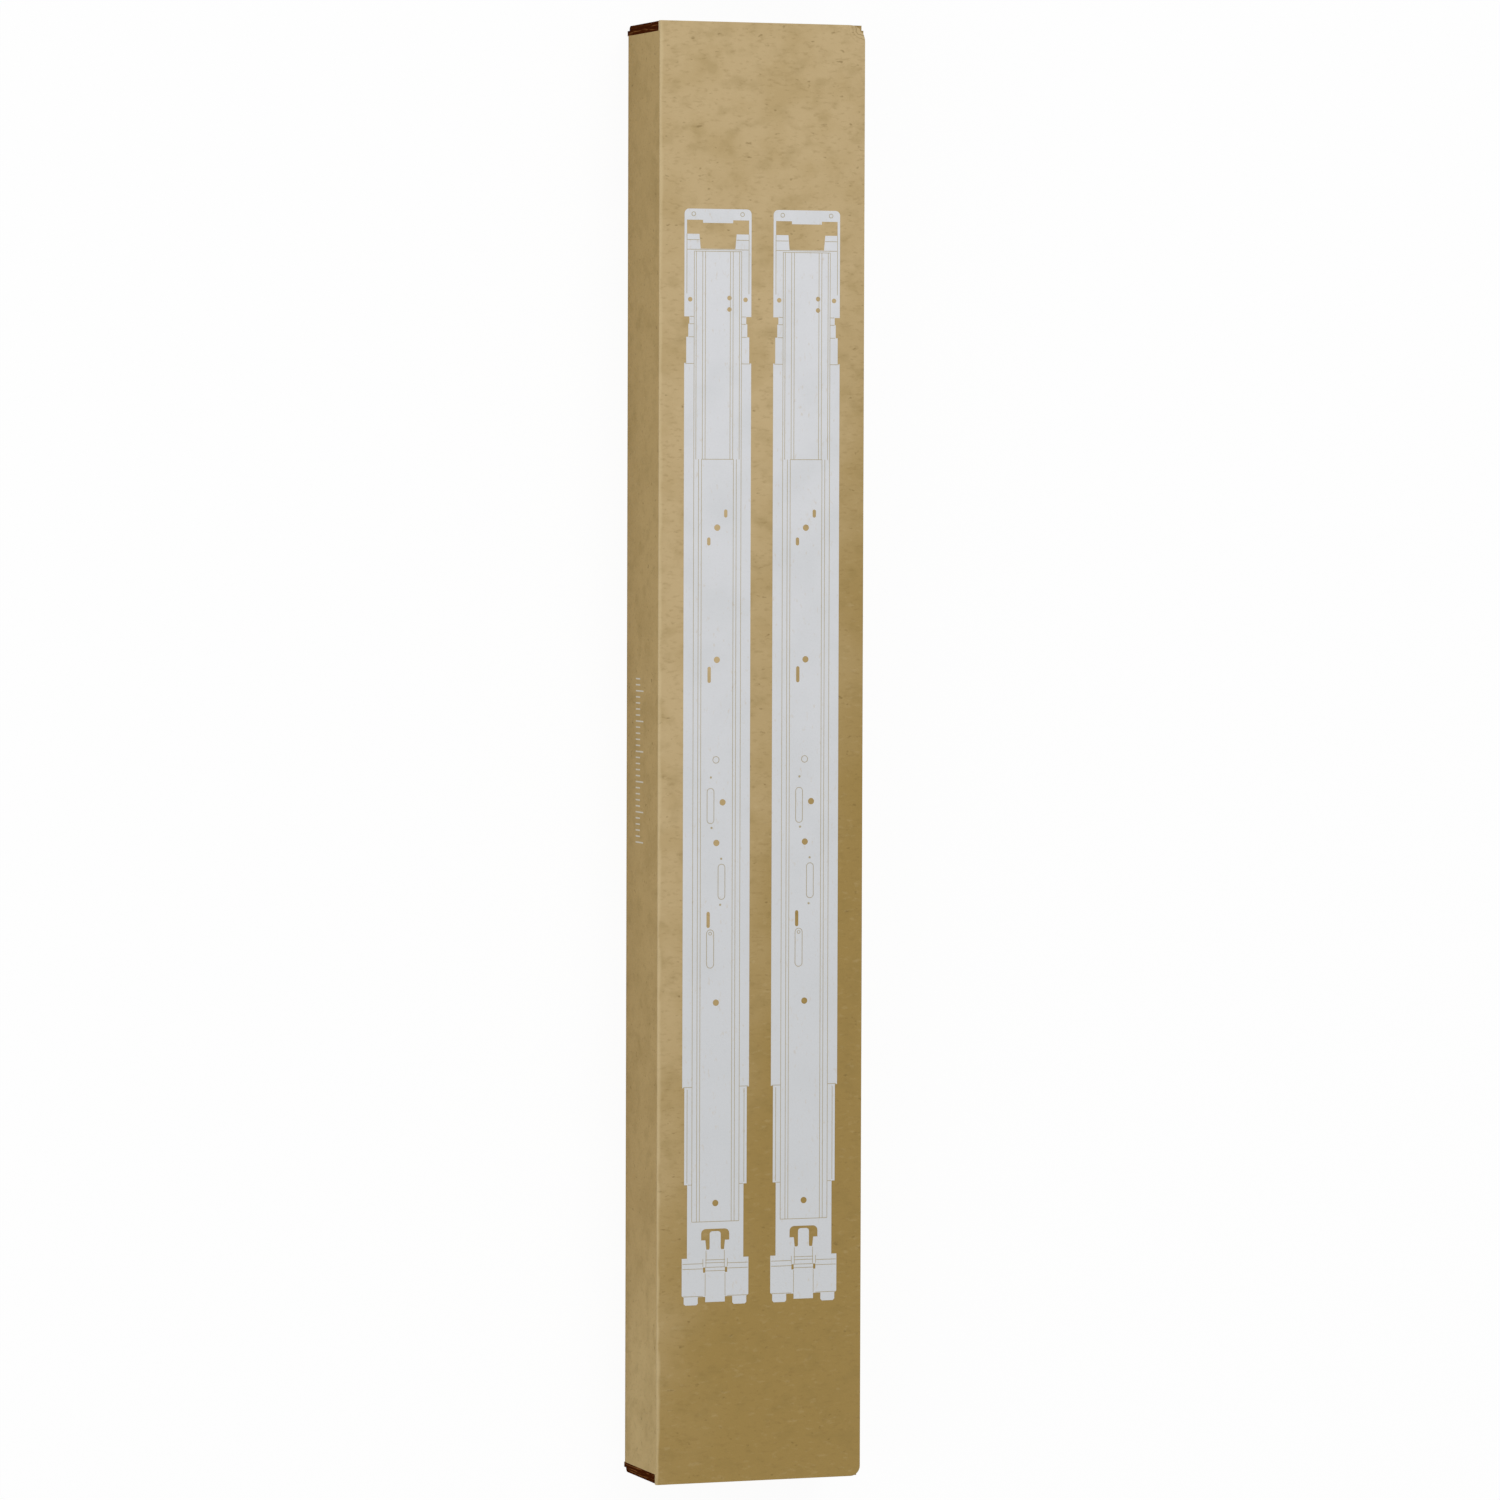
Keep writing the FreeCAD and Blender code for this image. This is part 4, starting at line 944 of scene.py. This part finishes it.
def foam():
    """Grey foam: an even field of cells with painted shade in their hollows, and slow clouds from
    one lot of sheet to the next.
    """
    material, tree, shader, place = new_material("grey_polyethylene_foam")
    cells = add(tree, "TexVoronoi", {"Vector": place, "Scale": FOAM_CELLS_PER_M})
    # Painted shade: the hollows of the cells are darker than their walls.
    pit_shade = add(tree, "MapRange", {"Value": cells.outputs["Distance"], "From Min": 0.25,
                                  "From Max": 0.6})
    base = add(tree, "Mix", {"Factor": pit_shade, "A": FOAM_PIT_SHADE, "B": FOAM_WALL}, data_type="RGBA")
    cloud = patches(tree, place, 30, 0.35, 0.7, 0.4)
    base = add(tree, "Mix", {"Factor": cloud, "A": base, "B": FOAM_PALE}, data_type="RGBA")
    swell = patches(tree, place, 6, 0.2, 0.8)
    height = add(tree, "Math", {0: cells.outputs["Distance"], 1: swell}, operation="ADD")
    normal = add(tree, "Bump", {"Height": height, "Distance": FOAM_RELIEF_MM * MM})
    wire(tree, shader, {"Base Color": base, "Roughness": 0.95, "IOR": 1.5,
                        "Specular IOR Level": 0.2, "Normal": normal})
    return material


def card():
    """Recycled card: fibres along the sheet and a few dark specks."""
    material, tree, shader, place = new_material("grey_brown_card")
    fibres = patches(tree, place, 1.0, 0.4, 0.72, 1.0, (1, 4, 1), 4.0)
    base = add(tree, "Mix", {"Factor": fibres, "A": CARD_DARK, "B": CARD_PALE}, data_type="RGBA")
    speck = patches(tree, place, 1.8, 0.66, 0.74, 0.7, (1, 1, 1), 1.0)
    base = add(tree, "Mix", {"Factor": speck, "A": base, "B": CARD_SPECK}, data_type="RGBA")
    normal = add(tree, "Bump", {"Height": fibres, "Distance": CARD_RELIEF_MM * MM})
    wire(tree, shader, {"Base Color": base, "Roughness": 0.8, "Specular IOR Level": 0.3,
                        "Normal": normal})
    return material


FOAM = foam()
CARD = card()
for node_name in ("floor_pad", "side_spacers", "fill_blocks"):
    dress(node_name, FOAM, 0.5)
for node_name in ("centre_divider", "accessory_tray"):
    dress(node_name, CARD, 0.15)
print("packing materials:", FOAM.name, CARD.name)

# %% [markdown]
# ## Metals
# The rails are roll-formed from zinc-plated sheet steel: bright but not mirror-like, with a faint
# blue cast, drawing lines along the member from the rollers, and cloudy patches in the plating.
# Metals keep the default index of refraction, and their colour is what they reflect. The balls
# are lapped and polished. One function makes them all, from two tones and a roughness.


# %% Metal materials
ROLLER_RELIEF_MM = 0.015
DULL_GAIN = 0.07          # a dull cloud's roughness, above that of bright metal


def rolled_metal(name, bright, dull, roughness, line_mm=0.4, cloud_mm=14.0):
    """Metal with roller lines along Y and a cloudy plating."""
    material, tree, shader, place = new_material(name)
    lines = patches(tree, place, line_mm, 0.35, 0.75, 1.0, (1, 60, 1), 2.0)
    clouds = patches(tree, place, cloud_mm, 0.35, 0.68, 1.0, (1, 1, 1), 4.0)
    base = add(tree, "Mix", {"Factor": clouds, "A": dull, "B": bright}, data_type="RGBA")
    streak = add(tree, "Math", {0: lines, 1: 0.25}, operation="MULTIPLY")
    base = add(tree, "Mix", {"Factor": streak, "A": base, "B": dull}, data_type="RGBA")
    gloss = add(tree, "MapRange", {"Value": clouds, "To Min": roughness + DULL_GAIN,
                                   "To Max": roughness})
    normal = add(tree, "Bump", {"Height": lines, "Distance": ROLLER_RELIEF_MM * MM})
    wire(tree, shader, {"Base Color": base, "Metallic": 1.0, "Roughness": gloss, "Normal": normal})
    return material


METALS = [rolled_metal(name, colour(bright), colour(dull), *rest) for name, bright, dull, *rest in (
    ("zinc_plated_steel", "#A9AFB5", "#969CA3", 0.36),
    ("zinc_plated_inner_steel", "#B4B9BE", "#A2A7AD", 0.32),
    ("stamped_cage_steel", "#8F9296", "#7A7D81", 0.4, 0.3, 8.0),
    ("lapped_ball_steel", "#D8DADC", "#C4C7CA", 0.06, 0.3, 2.0),
    ("drawn_spring_wire", "#9B9DA0", "#77797C", 0.28, 0.2, 3.0),
)]
ZINC, INNER_ZINC, CAGE_STEEL, BALL_STEEL, SPRING_STEEL = METALS
print("metals:", [metal.name for metal in METALS])

# %% [markdown]
# ### Coating and nylon
# The blocks, hooks and screws are steel with a baked black coat, which gives a fine orange-peel
# grain. The levers that a finger presses are moulded from blue nylon, which is satin with slow
# swirls where the melt flowed.


# %% Coated and moulded pieces
SKIN_IOR = 1.53


def moulded(name, dark, light, grain_mm, smooth, rough, depth_mm):
    """Plastic or paint skin: two close tones, a fine grain and uneven gloss."""
    material, tree, shader, place = new_material(name)
    flow = patches(tree, place, 8, 0.3, 0.7, 1.0, (1, 2, 1))
    base = add(tree, "Mix", {"Factor": flow, "A": dark, "B": light}, data_type="RGBA")
    wear = patches(tree, place, 4, 0.3, 0.7)
    gloss = add(tree, "MapRange", {"Value": wear, "To Min": smooth, "To Max": rough})
    grain = patches(tree, place, grain_mm, 0.2, 0.8)
    normal = add(tree, "Bump", {"Height": grain, "Distance": depth_mm * MM})
    wire(tree, shader, {"Base Color": base, "Roughness": gloss, "IOR": SKIN_IOR, "Normal": normal})
    return material


BLACK_COAT = moulded("black_baked_coat", colour("#16171A"), colour("#26282B"),
                     0.5, 0.38, 0.52, 0.03)
BLUE_NYLON = moulded("blue_moulded_nylon", colour("#29557F"), colour("#35679A"),
                     0.4, 0.38, 0.48, 0.02)
print("skins:", BLACK_COAT.name, BLUE_NYLON.name)

# %% [markdown]
# ## Dressing the rails
# Both rails are alike, so one table names the finish of each piece, and a loop gives it to the
# left and the right one. Pressed sheet gets a narrow bevel; balls and thin cages keep their own
# edges.

# %% Rail pieces
RAIL_FINISH = {
    "outer_member": (ZINC, 0.25),
    "intermediate_member": (ZINC, 0.25),
    "inner_member": (INNER_ZINC, 0.2),
    "outer_ball_cage": (CAGE_STEEL, 0.0),
    "outer_balls": (BALL_STEEL, 0.0),
    "inner_ball_cage": (CAGE_STEEL, 0.0),
    "inner_balls": (BALL_STEEL, 0.0),
    "front_bracket": (ZINC, 0.25),
    "bracket_rivets": (CAGE_STEEL, 0.05),
    "latch_blocks": (BLACK_COAT, 0.35),
    "latch_pin": (CAGE_STEEL, 0.2),
    "latch_lever": (BLUE_NYLON, 0.3),
    "latch_spring": (SPRING_STEEL, 0.0),
    "front_pegs": (INNER_ZINC, 0.15),
    "rear_bracket": (ZINC, 0.2),
    "rear_hooks": (BLACK_COAT, 0.25),
    "guide_stud": (CAGE_STEEL, 0.2),
    "release_lever": (BLUE_NYLON, 0.15),
    "release_rivet": (CAGE_STEEL, 0.05),
}
for side_name in ("left", "right"):
    for piece, (finish, width) in RAIL_FINISH.items():
        dress(side_name + "_" + piece, finish, width)
dress("tray_screws", BLACK_COAT, 0.15)
print("rail pieces dressed:", 2 * len(RAIL_FINISH))

# %% [markdown]
# ## Floor
# The carton lies on a pale floor. To the camera it is nearly white by its own glow, and its other
# share still takes a faint shadow, so that the carton is seen to rest on something.


# %% Floor
FLOOR_REACH = 6.0
FLOOR_GAP_MM = 0.2
FLOOR_GLOW = 0.94
WHITE = (1.0, 1.0, 1.0, 1.0)


def seen(tree):
    """1 on the way from the camera, also by a mirror or through glass, and 0 for other light."""
    path = add(tree, "LightPath")
    direct = add(tree, "Math", {0: path.outputs["Is Camera Ray"], 1: path.outputs["Is Glossy Ray"]},
                 operation="MAXIMUM")
    return add(tree, "Math", {0: direct, 1: path.outputs["Is Transmission Ray"]},
               operation="MAXIMUM")


def pale_floor():
    """Matt near-white floor that glows where the camera sees it."""
    material, tree, shader, _ = new_material("pale_studio_floor")
    wire(tree, shader, {"Base Color": colour("#F0F0F0"), "Roughness": 0.95})
    glow = add(tree, "Emission", {"Color": WHITE, "Strength": 1.0})
    share = add(tree, "Math", {0: seen(tree), 1: FLOOR_GLOW}, operation="MULTIPLY")
    mix = add(tree, "MixShader", {0: share, 1: shader, 2: glow})
    wire(tree, tree.nodes["Material Output"], {"Surface": mix})
    return material


corners = [(-FLOOR_REACH, -FLOOR_REACH, 0), (FLOOR_REACH, -FLOOR_REACH, 0),
           (FLOOR_REACH, FLOOR_REACH, 0), (-FLOOR_REACH, FLOOR_REACH, 0)]
floor_mesh = bpy.data.meshes.new("floor")
floor_mesh.from_pydata(corners, [], [(0, 1, 2, 3)])
floor_mesh.materials.append(pale_floor())
floor = bpy.data.objects.new("floor", floor_mesh)
bpy.context.collection.objects.link(floor)
floor.location.z = CAD_LOW[2] - FLOOR_GAP_MM * MM
print("floor half-width in m:", FLOOR_REACH)

# %% [markdown]
# ## Lamps
# Three large round lamps give plain, even light. The strongest hangs over the rear end, so the
# lid is a little brighter there, and the other two fill the left wall and the front.


# %% Lamps
def soft_lamp(name, place, size, power):
    """Round area lamp that looks at the carton."""
    data = bpy.data.lights.new(name, "AREA")
    data.shape = "DISK"
    data.size = size
    data.energy = power
    lamp = bpy.data.objects.new(name, data)
    bpy.context.collection.objects.link(lamp)
    lamp.location = place
    lamp.rotation_euler = (-Vector(place)).to_track_quat("-Z", "Y").to_euler()


soft_lamp("key_lamp", (0.5, 1.5, 2.3), 1.6, 30.0)
soft_lamp("fill_lamp", (-2.2, -0.3, 1.6), 2.0, 18.0)
soft_lamp("front_lamp", (0.6, -2.2, 1.9), 1.8, 12.0)
print("lamps:", len(bpy.data.lights))

# %% [markdown]
# ## Background
# The world lights softly from all around, and is plain white where the camera sees it. Colours
# are shown as they are, with no film look.

# %% World
SKY_STRENGTH = 0.45
world = bpy.data.worlds.new("studio")
bpy.context.scene.world = world
world.use_nodes = True
sky = world.node_tree
soft = sky.nodes["Background"]
wire(sky, soft, {"Color": WHITE, "Strength": SKY_STRENGTH})
plain = add(sky, "Background", {"Color": WHITE, "Strength": 1.0})
both = add(sky, "MixShader", {0: seen(sky), 1: soft, 2: plain})
wire(sky, sky.nodes["World Output"], {"Surface": both})
bpy.context.scene.view_settings.view_transform = "Standard"
print("world:", world.name)
